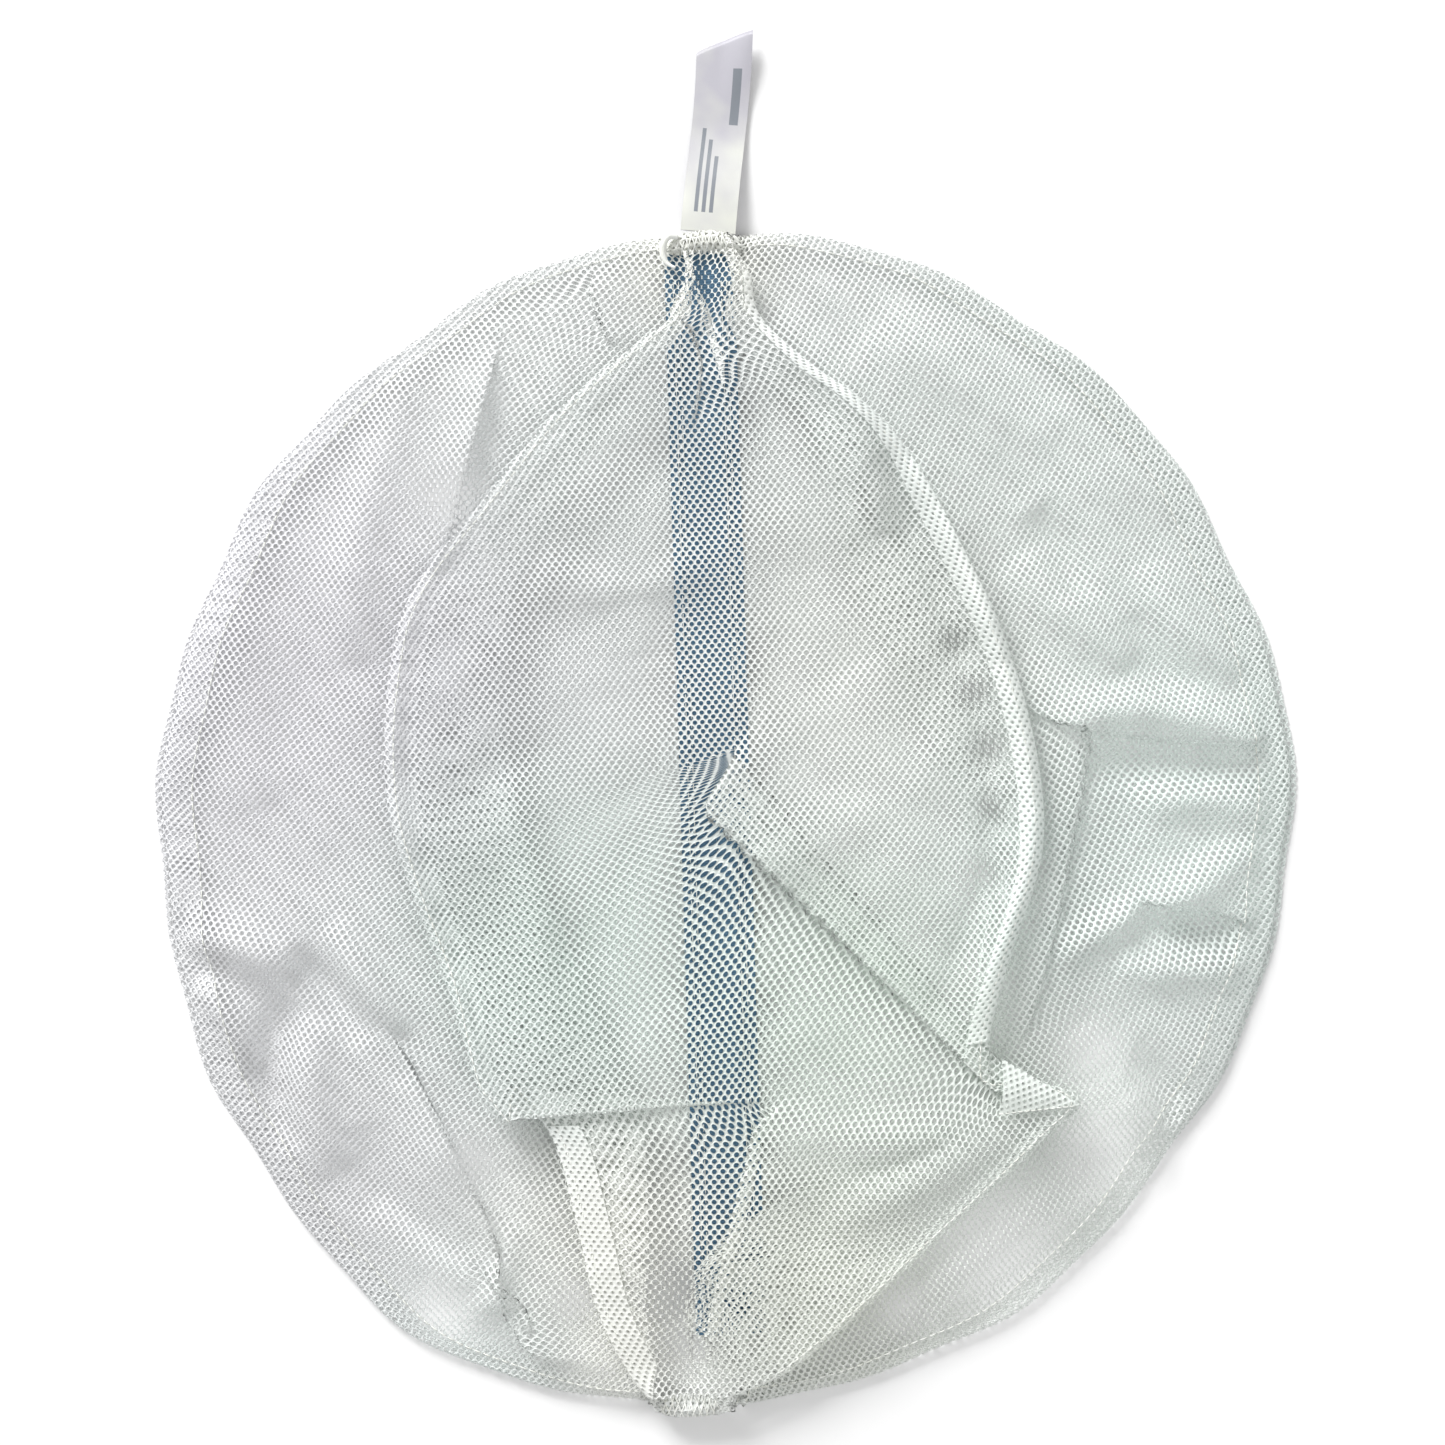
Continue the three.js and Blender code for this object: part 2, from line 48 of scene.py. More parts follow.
# ---- places read from the frame ------------------------------------------------------------------
# The bag's own axes, in millimetres: x = 0 on the zip's line, y = 0 halfway between the poles.
TAPE_TOP_Y, TAPE_BOTTOM_Y = 196.0, -183.0
TAPE_END_IN_KNOT = 8.0
TAPE_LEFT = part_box("zip_tape_left")
TAPE_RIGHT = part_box("zip_tape_right")
ORIGIN_X = (TAPE_LEFT[0][0] + TAPE_RIGHT[1][0]) / 2 / MM
ORIGIN_Y = TAPE_LEFT[1][1] / MM - TAPE_TOP_Y
TAPE_Z = TAPE_LEFT[0][2] / MM
TAPE_HALF_WIDTH = TAPE_RIGHT[1][0] / MM - ORIGIN_X
COIL_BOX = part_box("zip_coil_right")

# ---- outline and seams, as the bag is laid -------------------------------------------------------
# Radius of the outline every 30 degrees, anticlockwise from +X.
RIM_RADII = [205, 207, 212, 211, 205, 200, 198, 202, 213, 208, 205, 201]
# Ripples of the rim: height in millimetres, how many go round, and phase in degrees.
RIM_RIPPLES = [(1.0, 11, 0), (0.7, 23, 40)]
TOP_POLE_ANGLE = 89.3
SWEEP = {"left": 176.6, "right": -183.4}
SEAM_HALF_LENGTH = 203.0
SEAM_SAMPLES = 600
# Points of the two inner seams, from the top pole to the bottom one.
SEAM_LINE = {
    "left": [
        (-6, 203), (-9, 190), (-15, 177), (-34, 162), (-54, 145), (-80, 115), (-106, 82), (-115, 47),
        (-116, 12), (-109, -19), (-98, -50), (-89, -74), (-76, -92), (-62, -108), (-54, -139), (-48, -169),
        (-38, -192), (-30, -203),
    ],
    "right": [
        (13, 203), (18, 193), (21, 179), (38, 161), (56, 147), (72, 129), (90, 94), (105, 58), (114, 19),
        (115, -13), (108, -45), (104, -72), (107, -91), (126, -101), (112, -116), (74, -150), (49, -172),
        (20, -195), (0, -203),
    ],
}
# How far each side gore runs in under the front before it turns back, at even steps from pole to pole.
FOLD_REACH = {
    "left": [4, 6, 18, 36, 42, 42, 16, 8, 4],
    "right": [4, 8, 22, 40, 26, 14, 73, 44, 4],
}
INWARD = {"left": 1.0, "right": -1.0}

# ---- heights -------------------------------------------------------------------------------------
FLOOR_CLOTH_Z = 0.5
RIM_SEAM_Z = 1.3
RIM_EDGE_Z = 2.6
RIM_TOP_Z = 3.9
LOWER_Z = (7.8, 10.3)
FOLD_GAP = (2.4, 3.0)
FRONT_RISE = 3.0
FRONT_MIDDLE_Z = (10.4, 13.0)
UNDER_TAPE_Z = TAPE_Z - 0.7
HIGHEST_Z = 26.0
LOWEST_SIDE_Z = 1.3
LOWEST_BAND_Z = 0.6
CORNER_Z = 19.5

# ---- knitted mesh --------------------------------------------------------------------------------
HOLE_PITCH = (2.64 * MM, 3.32 * MM)
HOLE_RADIUS = 0.78 * MM
SEAM_HOLE_RADIUS = 0.62 * MM
GATHERED_HOLE_RADIUS = 0.40 * MM
OPENED_BY = 0.34 * MM

# ---- seams and thread ----------------------------------------------------------------------------
THREAD_RADIUS = 0.2
THREAD_SIDES = 5
SEAM_INSET = 2.2
RIM_ALLOWANCE = 13.0
RIM_STITCH_AT = 13.5
FRONT_STITCH_AT = 5.0
UNDER_CLOTH = 0.8


# ---- curves and fields ---------------------------------------------------------------------------
def smooth_at(values, position, ring=False):
    """Catmull-Rom value of a list at fractional indices."""
    values = np.asarray(values, float)
    position = np.asarray(position, float)
    count = len(values)
    start = np.floor(position).astype(int)
    if not ring:
        start = np.minimum(start, count - 2)
    t = position - start

    def pick(step):
        index = start + step
        return values[index % count] if ring else values[np.clip(index, 0, count - 1)]

    a, b, c, d = pick(-1), pick(0), pick(1), pick(2)
    return b + 0.5 * t * (c - a + t * (2 * a - 5 * b + 4 * c - d + t * (3 * (b - c) + d - a)))


def mix(a, b, t):
    return a + (b - a) * t


def smoothstep(low, high, value):
    t = np.clip((value - low) / (high - low), 0, 1)
    return t * t * (3 - 2 * t)


def rim_point(angle):
    radius = smooth_at(RIM_RADII, (angle % 360) / 30, ring=True)
    for height, count, phase in RIM_RIPPLES:
        radius = radius + height * np.sin(np.radians(angle * count + phase))
    return radius * np.cos(np.radians(angle)), radius * np.sin(np.radians(angle))


def rim_angle(side, v):
    return TOP_POLE_ANGLE + SWEEP[side] * v


def seam_y(v):
    return SEAM_HALF_LENGTH * np.cos(math.pi * v)


def seam_x(side, y):
    """The seam's x at a height y, read off a smooth curve through its listed points."""
    line = np.array(SEAM_LINE[side], float)
    position = np.linspace(0, len(line) - 1, SEAM_SAMPLES)
    xs, ys = smooth_at(line[:, 0], position), smooth_at(line[:, 1], position)
    order = np.argsort(ys)
    return np.interp(y, ys[order], xs[order])


def fold_reach(side, v):
    return smooth_at(FOLD_REACH[side], v * (len(FOLD_REACH[side]) - 1))


def between(pair, v):
    return mix(pair[0], pair[1], np.sin(math.pi * v))


def lower_z(v):
    return between(LOWER_Z, v)


def return_z(v):
    return lower_z(v) + between(FOLD_GAP, v)


def lumps(x, y, size, seed):
    """Seeded noise from -1 to 1 over a plane, with lumps of about the given size in millimetres."""
    values = [noise.noise((a / size, b / size, seed)) for a, b in zip(np.ravel(x), np.ravel(y))]
    return np.array(values).reshape(np.shape(x))


# ---- ridges: soft creases shared by all the front layers, so that the gaps between them stay -----
# Each is three points on its line, its height (negative for a valley) and its half width.
RIDGE_GAIN = 1.22
RIDGES = [
    ((-72, 172), (-88, 130), (-98, 92), 4.4, 6),
    ((-100, 170), (-122, 110), (-126, 60), 4.0, 9),
    ((-158, 110), (-168, 60), (-160, 10), 3.4, 12),
    ((-192, -34), (-168, -40), (-150, -50), 6.5, 8),
    ((-188, -52), (-176, -64), (-166, -84), 5.0, 6),
    ((-152, -40), (-140, -56), (-129, -76), -5.0, 5),
    ((-138, -32), (-126, -52), (-114, -72), 6.0, 6),
    ((-153, -58), (-162, -84), (-156, -114), -5.5, 7),
    ((-142, -66), (-147, -92), (-138, -120), 5.5, 8),
    ((-174, -96), (-166, -124), (-142, -146), 3.4, 7),
    ((-116, -88), (-102, -120), (-84, -152), 4.6, 7),
    ((-130, -104), (-118, -136), (-96, -160), -4.0, 8),
    ((-126, -134), (-110, -150), (-92, -164), 3.6, 6),
    ((-98, -180), (-86, -166), (-76, -140), 4.0, 6),
    ((-84, -174), (-68, -189), (-40, -197), 4.6, 5),
    ((-88, -186), (-74, -196), (-52, -203), -3.0, 5),
    ((8, 198), (6, 170), (18, 128), 2.6, 6),
    ((26, 178), (50, 148), (62, 100), 4.0, 7),
    ((74, 128), (92, 92), (103, 54), 2.8, 6),
    ((60, 128), (80, 88), (92, 48), -2.6, 7),
    ((-46, 142), (-30, 100), (-24, 60), 2.6, 11),
    ((-60, 92), (-30, 84), (2, 92), 2.8, 9),
    ((-72, 20), (-64, -20), (-58, -70), 2.4, 8),
    ((26, 8), (60, 10), (88, 24), 2.8, 12),
    ((50, 54), (66, 20), (84, -30), 3.0, 9),
    ((64, 176), (96, 150), (126, 132), 3.0, 10),
    ((112, 92), (130, 68), (148, 50), 5.0, 9),
    ((116, 108), (126, 92), (132, 74), -4.6, 8),
    ((158, 88), (168, 64), (188, 46), 4.6, 8),
    ((150, 70), (160, 50), (172, 38), -3.0, 7),
    ((116, 34), (158, 38), (203, 22), 5.6, 6),
    ((134, 22), (160, 14), (196, 14), -4.6, 7),
    ((150, 2), (172, 4), (198, -4), 4.0, 8),
    ((118, -53), (152, -34), (194, -16), 5.4, 6),
    ((146, -36), (166, -40), (186, -45), -5.0, 6),
    ((140, -56), (166, -58), (192, -56), 4.6, 7),
    ((128, -76), (142, -98), (150, -122), 4.6, 7),
    ((144, -88), (156, -98), (162, -112), -4.4, 8),
    ((100, -112), (70, -128), (36, -146), 3.0, 8),
    ((84, -112), (52, -114), (22, -112), 2.8, 8),
    ((70, -170), (92, -158), (118, -140), 2.6, 9),
    ((-40, -120), (-28, -150), (-22, -190), 2.6, 8),
]


RIDGE_PIECES = 8
# Soft lumps between the ridges: height and size in millimetres, and seed.
SOFT_LUMPS = [(2.2, 55, 3.1), (1.3, 22, 8.7), (0.3, 8, 2.2)]
RELIEF_BASE = 1.6


def ridge_height(x, y):
    """Height the ridges add at each point, tapered to nothing at each ridge's ends."""
    high = np.zeros(np.shape(x))
    low = np.zeros(np.shape(x))
    for start, middle, end, height, half_width in RIDGES:
        a, m, c = np.array(start, float), np.array(middle, float), np.array(end, float)
        control = 2 * m - (a + c) / 2
        nearest = np.full(np.shape(x), 1e9)
        taper = np.zeros(np.shape(x))
        previous = a
        for i in range(1, RIDGE_PIECES + 1):
            t = i / RIDGE_PIECES
            point = (1 - t) ** 2 * a + 2 * t * (1 - t) * control + t * t * c
            along = point - previous
            share = ((x - previous[0]) * along[0] + (y - previous[1]) * along[1]) / along.dot(along)
            share = np.clip(share, 0, 1)
            away = np.hypot(x - previous[0] - share * along[0], y - previous[1] - share * along[1])
            closer = away < nearest
            nearest = np.where(closer, away, nearest)
            taper = np.where(closer, np.sin(math.pi * (i - 1 + share) / RIDGE_PIECES) ** 0.6, taper)
            previous = point
        bump = RIDGE_GAIN * abs(height) * taper * np.exp(-(nearest / half_width) ** 2)
        if height > 0:
            high = np.maximum(high, bump)
        else:
            low = np.maximum(low, bump)
    return high - low


def relief(x, y):
    """Shared height of the front layers' wrinkles; the side gores fade it to nothing at the rim."""
    soft = sum(height * lumps(x, y, size, seed) for height, size, seed in SOFT_LUMPS)
    return ridge_height(x, y) + soft + RELIEF_BASE


# ---- folds: the cloth doubles back on itself along a line ----------------------------------------
# start and end: the line where the cloth turns, before it is carried over. carry: how far it is carried
# over at the start and at the end, towards (way). rise and fall: widths of cloth on either side that move.
# lift: how high the upper part stands. soften: how fast the fold fades at its two ends.
FRONT_FOLDS = [
    dict(start=(-92, -84), end=(16, -96), way=(0.10, -0.99), carry=(19, 2), rise=46, fall=5, lift=3.0,
         soften=(1, 8), bow=0),
    dict(start=(13, 27), end=(108, -92), way=(-0.70, -0.71), carry=(30, 13), rise=60, fall=5, lift=3.2,
         soften=(4, 7), bow=0),
    dict(start=(21, -104), end=(-4, -192), way=(-0.97, 0.24), carry=(10, 8), rise=22, fall=4, lift=2.0,
         soften=(8, 10), bow=0),
    dict(start=(-8, 201), end=(4, 156), way=(0.95, 0.30), carry=(4, 6), rise=12, fall=2.5, lift=1.6,
         soften=(3, 6), bow=0),
    dict(start=(-12, 178), end=(-6, 140), way=(0.98, 0.18), carry=(7, 3), rise=10, fall=2.5, lift=1.4,
         soften=(5, 8), bow=3),
]
SIDE_FOLDS = {
    "left": [
        dict(start=(-122, -70), end=(-74, -188), way=(0.92, 0.38), carry=(4, 7), rise=26, fall=3, lift=2.4,
             soften=(14, 8), bow=4),
        dict(start=(-92, -154), end=(-62, -196), way=(-0.80, -0.60), carry=(5, 6), rise=14, fall=2.5,
             lift=1.6, soften=(8, 6), bow=-3),
        dict(start=(-37, 200), end=(-30, 172), way=(-0.97, -0.2), carry=(6, 5), rise=12, fall=2.5, lift=1.8,
             soften=(3, 4), bow=0),
        dict(start=(-74, 172), end=(-98, 92), way=(0.96, 0.28), carry=(3, 5), rise=20, fall=2.5, lift=1.6,
             soften=(10, 12), bow=0),
    ],
    "right": [
        dict(start=(128, 34), end=(104, -80), way=(0.98, -0.16), carry=(8, 4), rise=16, fall=3, lift=2.6,
             soften=(8, 10), bow=2),
        dict(start=(112, 39), end=(204, 26), way=(-0.06, -1.0), carry=(5, 4), rise=20, fall=3, lift=2.2,
             soften=(10, 14), bow=4),
        dict(start=(150, -30), end=(190, -40), way=(0.10, -0.99), carry=(5, 4), rise=16, fall=3, lift=2.0,
             soften=(10, 8), bow=-3),
    ],
}


FADE_AHEAD = (0.6, 0.3)
SPREAD_BEHIND = 0.9
SLACK_FADES_OVER = 70


def folded(x, y, folds):
    """Shift (x, y, z) and extra cloth length (x, y) that a list of folds gives at each point."""
    dx, dy, dz = np.zeros(x.shape), np.zeros(x.shape), np.zeros(x.shape)
    du, dv = np.zeros(x.shape), np.zeros(x.shape)
    for fold in folds:
        a, b = np.array(fold["start"], float), np.array(fold["end"], float)
        length = float(np.hypot(*(b - a)))
        along = (b - a) / length
        normal = np.array([along[1], -along[0]])
        way = np.array(fold["way"], float)
        if normal.dot(way) < 0:
            normal = -normal
        s = (x - a[0]) * along[0] + (y - a[1]) * along[1]
        t = np.clip(s / length, 0, 1)
        d = (x - a[0]) * normal[0] + (y - a[1]) * normal[1] - fold["bow"] * 4 * t * (1 - t)
        soft_in, soft_out = fold["soften"]
        ahead = np.maximum(0, -d)
        fade_in, fade_out = soft_in + FADE_AHEAD[0] * ahead, soft_out + FADE_AHEAD[1] * ahead
        fade = smoothstep(-fade_in, fade_in, s) * smoothstep(-fade_out, fade_out, length - s)
        carry = mix(fold["carry"][0], fold["carry"][1], t) * fade
        rise, fall = fold["rise"], fold["fall"]
        share = np.where(d < 0, smoothstep(-rise, 0, d), 1 - smoothstep(0, fall, d))
        extra = np.where(d < 0, carry * share, np.maximum(carry * share, carry * (2 - share) - 2 * d))
        behind = np.maximum(0, d - fall)
        spread_in, spread_out = soft_in + SPREAD_BEHIND * behind, soft_out + SPREAD_BEHIND * behind
        spread = smoothstep(-spread_in, spread_in, s) * smoothstep(-spread_out, spread_out, length - s)
        left_over = np.maximum(0, 2 * (mix(fold["carry"][0], fold["carry"][1], t) * spread - fall))
        extra = np.where(d > fall, left_over * np.exp(-behind / SLACK_FADES_OVER), extra)
        stand = fold["lift"] * np.minimum(1, carry / max(fold["carry"]) * 1.5)
        dx += way[0] * carry * share
        dy += way[1] * carry * share
        du += way[0] * extra
        dv += way[1] * extra
        dz += stand * smoothstep(-rise, -0.3 * rise, d) * (1 - smoothstep(-0.4, fall, d))
    return dx, dy, dz, du, dv


# ---- sheets --------------------------------------------------------------------------------------
def placed(x, y, z):
    return np.stack([(x + ORIGIN_X) * MM, (y + ORIGIN_Y) * MM, z * MM], axis=-1)


def new_object(name, vertices, faces, material, body="bag"):
    mesh = bpy.data.meshes.new(name)
    mesh.from_pydata(vertices, [], faces)
    obj = bpy.data.objects.new(name, mesh)
    bpy.context.scene.collection.objects.link(obj)
    mesh.materials.append(material)
    mesh.polygons.foreach_set("use_smooth", [True] * len(mesh.polygons))
    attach(obj, body)
    return obj


def grid_faces(rows, columns):
    k = (np.arange(rows - 1)[:, None] * columns + np.arange(columns - 1)[None, :]).ravel()
    return np.stack([k, k + 1, k + columns + 1, k + columns], axis=1).tolist()


# Tints laid over the cloth: centre, radius in millimetres, colour.
TINTS = [
    ((-150, 60), 110, (0.87, 0.86, 0.90)), ((-150, -110), 80, (0.88, 0.88, 0.90)),
    ((-40, 120), 60, (0.87, 0.91, 0.89)), ((-60, -40), 70, (0.82, 0.93, 0.87)),
    ((60, 60), 70, (0.89, 0.91, 0.87)), ((40, -70), 60, (0.81, 0.91, 0.82)),
    ((150, 0), 90, (0.88, 0.97, 0.93)), ((110, 120), 80, (0.87, 0.93, 0.90)),
    ((90, -120), 60, (0.87, 0.92, 0.87)), ((-45, -150), 45, (0.98, 0.98, 0.92)),
    ((30, -160), 50, (0.93, 0.96, 0.88)), ((-90, -175), 40, (0.86, 0.92, 0.90)),
    ((0, 200), 24, (0.96, 0.96, 0.89)), ((112, 20), 22, (0.95, 0.98, 0.95)),
    ((94, 84), 12, (0.95, 0.98, 0.95)), ((107, 54), 13, (0.95, 0.98, 0.95)),
    ((112, -24), 13, (0.94, 0.98, 0.95)), ((104, -62), 12, (0.94, 0.98, 0.95)),
    ((-40, -186), 18, (0.99, 0.99, 0.93)),
]
# Places where the knit is pulled open: centre and radius in millimetres.
OPEN_PLACES = [
    ((-93, 120), 13), ((-19, -168), 15), ((131, -84), 16), ((97, -154), 34), ((-104, -172), 16),
    ((-56, -170), 9),
    ((86, 62), 6), ((93, 44), 7), ((97, 24), 7), ((97, 2), 7), ((94, -20), 7), ((-90, -118), 10),
    ((0, 192), 10),
    ((132, -124), 24), ((62, -176), 14), ((-14, -186), 12),
]


def paint(obj, x, y):
    """Colour and openness of the knit at each vertex."""
    total = np.full(x.shape, 0.35)
    color = np.stack([total * c for c in (0.90, 0.92, 0.91)], axis=-1)
    for (cx, cy), radius, tint in TINTS:
        weight = np.exp(-((x - cx) ** 2 + (y - cy) ** 2) / radius ** 2 * 1.6)
        total = total + weight
        color = color + weight[..., None] * np.array(tint)
    color = color / total[..., None]
    layer = obj.data.color_attributes.new("tint", "FLOAT_COLOR", "POINT")
    layer.data.foreach_set("color", np.dstack([color, np.ones(x.shape)]).reshape(-1))
    opened = np.zeros(x.shape)
    for (cx, cy), radius in OPEN_PLACES:
        opened = np.maximum(opened, np.exp(-((x - cx) ** 2 + (y - cy) ** 2) / radius ** 2))
    layer = obj.data.attributes.new("opened", "FLOAT", "POINT")
    layer.data.foreach_set("value", opened.ravel())


def cloth_sheet(name, grid, lengths, material, grain=0.0, offset=0.0, body="bag"):
    """A single-layer sheet from grids of x, y, z in millimetres, and cloth coordinates (across, along)."""
    x, y, z = grid
    rows, columns = x.shape
    vertices = placed(x, y, z).reshape(-1, 3).tolist()
    obj = new_object(name, vertices, grid_faces(rows, columns), material, body)
    u, v = lengths[0] * MM, lengths[1] * MM
    c, s = math.cos(math.radians(grain)), math.sin(math.radians(grain))
    uv = np.stack([c * u - s * v + offset + 0.5, s * u + c * v + offset + 0.5], axis=-1).reshape(-1, 2)
    layer = obj.data.uv_layers.new(name="cloth")
    loops = np.empty(len(obj.data.loops), int)
    obj.data.loops.foreach_get("vertex_index", loops)
    layer.data.foreach_set("uv", uv[loops].ravel())
    paint(obj, x, y)
    return obj


def declare_sheet(grid):
    """Work out the cut's greatest width and length along the cloth, in metres, rounded up to whole
    millimetres; nothing is done with them.
    """
    points = placed(*grid)
    width = float(np.linalg.norm(np.diff(points, axis=1), axis=2).sum(axis=1).max())
    length = float(np.linalg.norm(np.diff(points, axis=0), axis=2).sum(axis=0).max())
    width, length = math.ceil(width / MM) * MM, math.ceil(length / MM) * MM


def traced(grid, offsets, from_end=False):
    """Points of a surface at given distances in from one edge of each of its rows: rows by offsets."""
    points = np.stack(grid, axis=-1)
    if from_end:
        points = points[:, ::-1]
    steps = np.linalg.norm(np.diff(points[..., :2], axis=1), axis=2)
    lengths = np.concatenate([np.zeros((len(points), 1)), np.cumsum(steps, axis=1)], axis=1)
    result = np.empty((len(points), len(offsets[0]), 3))
    for i, (row, length) in enumerate(zip(points, lengths)):
        for k in range(3):
            result[i, :, k] = np.interp(offsets[i], length, row[:, k])
    return result[..., 0], result[..., 1], result[..., 2]


def tubes(name, paths, radius, sides, material, body="bag"):
    """Round threads along paths of (x, y, z) points in millimetres; radius may vary along each path."""
    vertices, faces = [], []
    angles = np.linspace(0, 2 * math.pi, sides, endpoint=False)
    for path in paths:
        path = np.asarray(path, float)
        tangent = np.gradient(path, axis=0)
        tangent /= np.linalg.norm(tangent, axis=1)[:, None] + 1e-9
        reference = np.where(np.abs(tangent[:, 2:]) > 0.9, [[1.0, 0, 0]], [[0, 0, 1.0]])
        side = np.cross(tangent, reference)
        side /= np.linalg.norm(side, axis=1)[:, None] + 1e-9
        up = np.cross(side, tangent)
        size = np.broadcast_to(radius, (len(path),))[:, None, None]
        ring = side[:, None] * np.cos(angles)[None, :, None] + up[:, None] * np.sin(angles)[None, :, None]
        points = path[:, None] + size * ring
        base = len(vertices)
        vertices.extend(placed(points[..., 0], points[..., 1], points[..., 2]).reshape(-1, 3).tolist())
        for i in range(len(path) - 1):
            for j in range(sides):
                k, n = base + i * sides + j, base + i * sides + (j + 1) % sides
                faces.append((k, n, n + sides, k + sides))
        faces.append([base + j for j in range(sides)][::-1])
        faces.append([base + (len(path) - 1) * sides + j for j in range(sides)])
    return new_object(name, vertices, faces, material, body)


def stitches(line, length, gap, sag=0.35):
    """Short arched stitches laid along a polyline of (x, y, z) points."""
    line = np.asarray(line, float)
    distance = np.concatenate([[0], np.cumsum(np.linalg.norm(np.diff(line, axis=0), axis=1))])
    paths = []
    at = 0.0
    while at + length < distance[-1]:
        stops = at + length * np.linspace(0, 1, 5)
        points = np.stack([np.interp(stops, distance, line[:, k]) for k in range(3)], axis=-1)
        points[:, 2] += sag * np.array([-1.2, 0.4, 0.7, 0.4, -1.2])
        paths.append(points)
        at += length + gap
    return paths


# ---- materials -----------------------------------------------------------------------------------
class Nodes:
    """Short hand for building a material's node tree."""

    def __init__(self, name):
        self.material = bpy.data.materials.new(name)
        self.material.use_nodes = True
        self.tree = self.material.node_tree
        self.tree.nodes.clear()
        self.output = self.tree.nodes.new("ShaderNodeOutputMaterial")

    def add(self, kind, inputs=None, **settings):
        node = self.tree.nodes.new("ShaderNode" + kind)
        for key, value in settings.items():
            setattr(node, key, value)
        for key, value in (inputs or {}).items():
            if hasattr(value, "is_output"):
                self.tree.links.new(value, node.inputs[key])
            else:
                node.inputs[key].default_value = value
        return node

    def math(self, operation, a, b=0.0, clamp=False):
        return self.add("Math", {0: a, 1: b}, operation=operation, use_clamp=clamp).outputs[0]

    def vector(self, operation, a, b=(0, 0, 0)):
        return self.add("VectorMath", {0: a, 1: b}, operation=operation).outputs["Vector"]

    def noise(self, vector, scale, detail=2.0):
        return self.add("TexNoise", {"Vector": vector, "Scale": scale, "Detail": detail}).outputs["Fac"]

    def wave(self, vector, direction, scale, distortion):
        values = {"Vector": vector, "Scale": scale, "Distortion": distortion}
        return self.add("TexWave", values, bands_direction=direction).outputs["Fac"]

    def place(self):
        return self.add("TexCoord").outputs["Object"]

    def tinted(self, color, factor):
        node = self.add("VectorMath", {0: color, "Scale": factor}, operation="SCALE")
        return node.outputs["Vector"]

    def ramp(self, fac, stops):
        node = self.add("ValToRGB", {"Fac": fac})
        elements = node.color_ramp.elements
        for element, (position, color) in zip(elements, stops):
            element.position = position
            element.color = (*color, 1)
        return node.outputs["Color"]

    def bump(self, height, distance, strength=1.0):
        values = {"Height": height, "Distance": distance, "Strength": strength}
        return self.add("Bump", values).outputs["Normal"]

    def finish(self, shader):
        self.tree.links.new(shader.outputs[0], self.output.inputs["Surface"])
        return self.material


def hole_distance(nodes, uv):
    """Metres to the nearest hole's centre, for two rows of holes half a pitch apart."""
    pitch = (HOLE_PITCH[0], HOLE_PITCH[1], 0)
    cells = nodes.vector("DIVIDE", uv, (HOLE_PITCH[0], HOLE_PITCH[1], 1))
    distances = []
    for shift in (0.0, 0.5):
        moved = nodes.vector("ADD", cells, (shift, shift, 0))
        centred = nodes.vector("SUBTRACT", nodes.vector("FRACTION", moved), (0.5, 0.5, 0))
        metres = nodes.vector("MULTIPLY", centred, pitch)
        distances.append(nodes.add("VectorMath", {0: metres}, operation="LENGTH").outputs["Value"])
    return nodes.math("MINIMUM", *distances)


def mesh_material(name, radius, bright=1.0):
    """Warp-knit mesh: rounded holes in staggered rows, and soft white yarn with a fine fibre grain."""
    nodes = Nodes(name)
    uv = nodes.add("UVMap", uv_map="cloth").outputs["UV"]
    place = nodes.place()
    distance = hole_distance(nodes, uv)
    opened = nodes.add("Attribute", attribute_name="opened").outputs["Fac"]
    wobble = nodes.math("MULTIPLY", nodes.math("SUBTRACT", nodes.noise(uv, 900), 0.5), 0.30 * MM)
    widened = nodes.math("MULTIPLY", opened, OPENED_BY)
    edge = nodes.math("SUBTRACT", nodes.math("ADD", distance, wobble), nodes.math("ADD", widened, radius))
    cover = nodes.math("ADD", nodes.math("DIVIDE", edge, 0.10 * MM), 0.5, clamp=True)
    tint = nodes.add("Attribute", attribute_name="tint").outputs["Color"]
    patch = nodes.math("ADD", nodes.math("MULTIPLY", nodes.noise(place, 30.0), 0.10), 0.95 * bright)
    color = nodes.tinted(tint, patch)
    fibre = nodes.math("MULTIPLY", nodes.noise(uv, 5200, 3.0), 0.08 * MM)
    rounded = nodes.math("MULTIPLY", nodes.math("MINIMUM", edge, 0.42 * MM), 1.1)
    normal = nodes.bump(nodes.math("ADD", rounded, fibre), 1.0, 0.7)
    cloth = nodes.add("BsdfPrincipled", {
        "Base Color": color, "Roughness": 0.55, "Normal": normal, "Specular IOR Level": 0.4,
        "Sheen Weight": 0.2, "Sheen Roughness": 0.4})
    glow = nodes.add("BsdfTranslucent", {"Color": color, "Normal": normal})
    yarn = nodes.add("MixShader", {0: 0.18, 1: cloth.outputs[0], 2: glow.outputs[0]})
    clear = nodes.add("BsdfTransparent")
    return nodes.finish(nodes.add("MixShader", {0: cover, 1: clear.outputs[0], 2: yarn.outputs[0]}))


def thread_material():
    nodes = Nodes("sewing_thread")
    place = nodes.place()
    color = nodes.ramp(nodes.noise(place, 60), [(0.35, (0.86, 0.87, 0.80)), (0.65, (0.93, 0.94, 0.90))])
    normal = nodes.bump(nodes.noise(place, 3500, 3.0), 0.3 * MM, 0.6)
    return nodes.finish(nodes.add("BsdfPrincipled", {
        "Base Color": color, "Roughness": 0.7, "Normal": normal, "Sheen Weight": 0.3}))


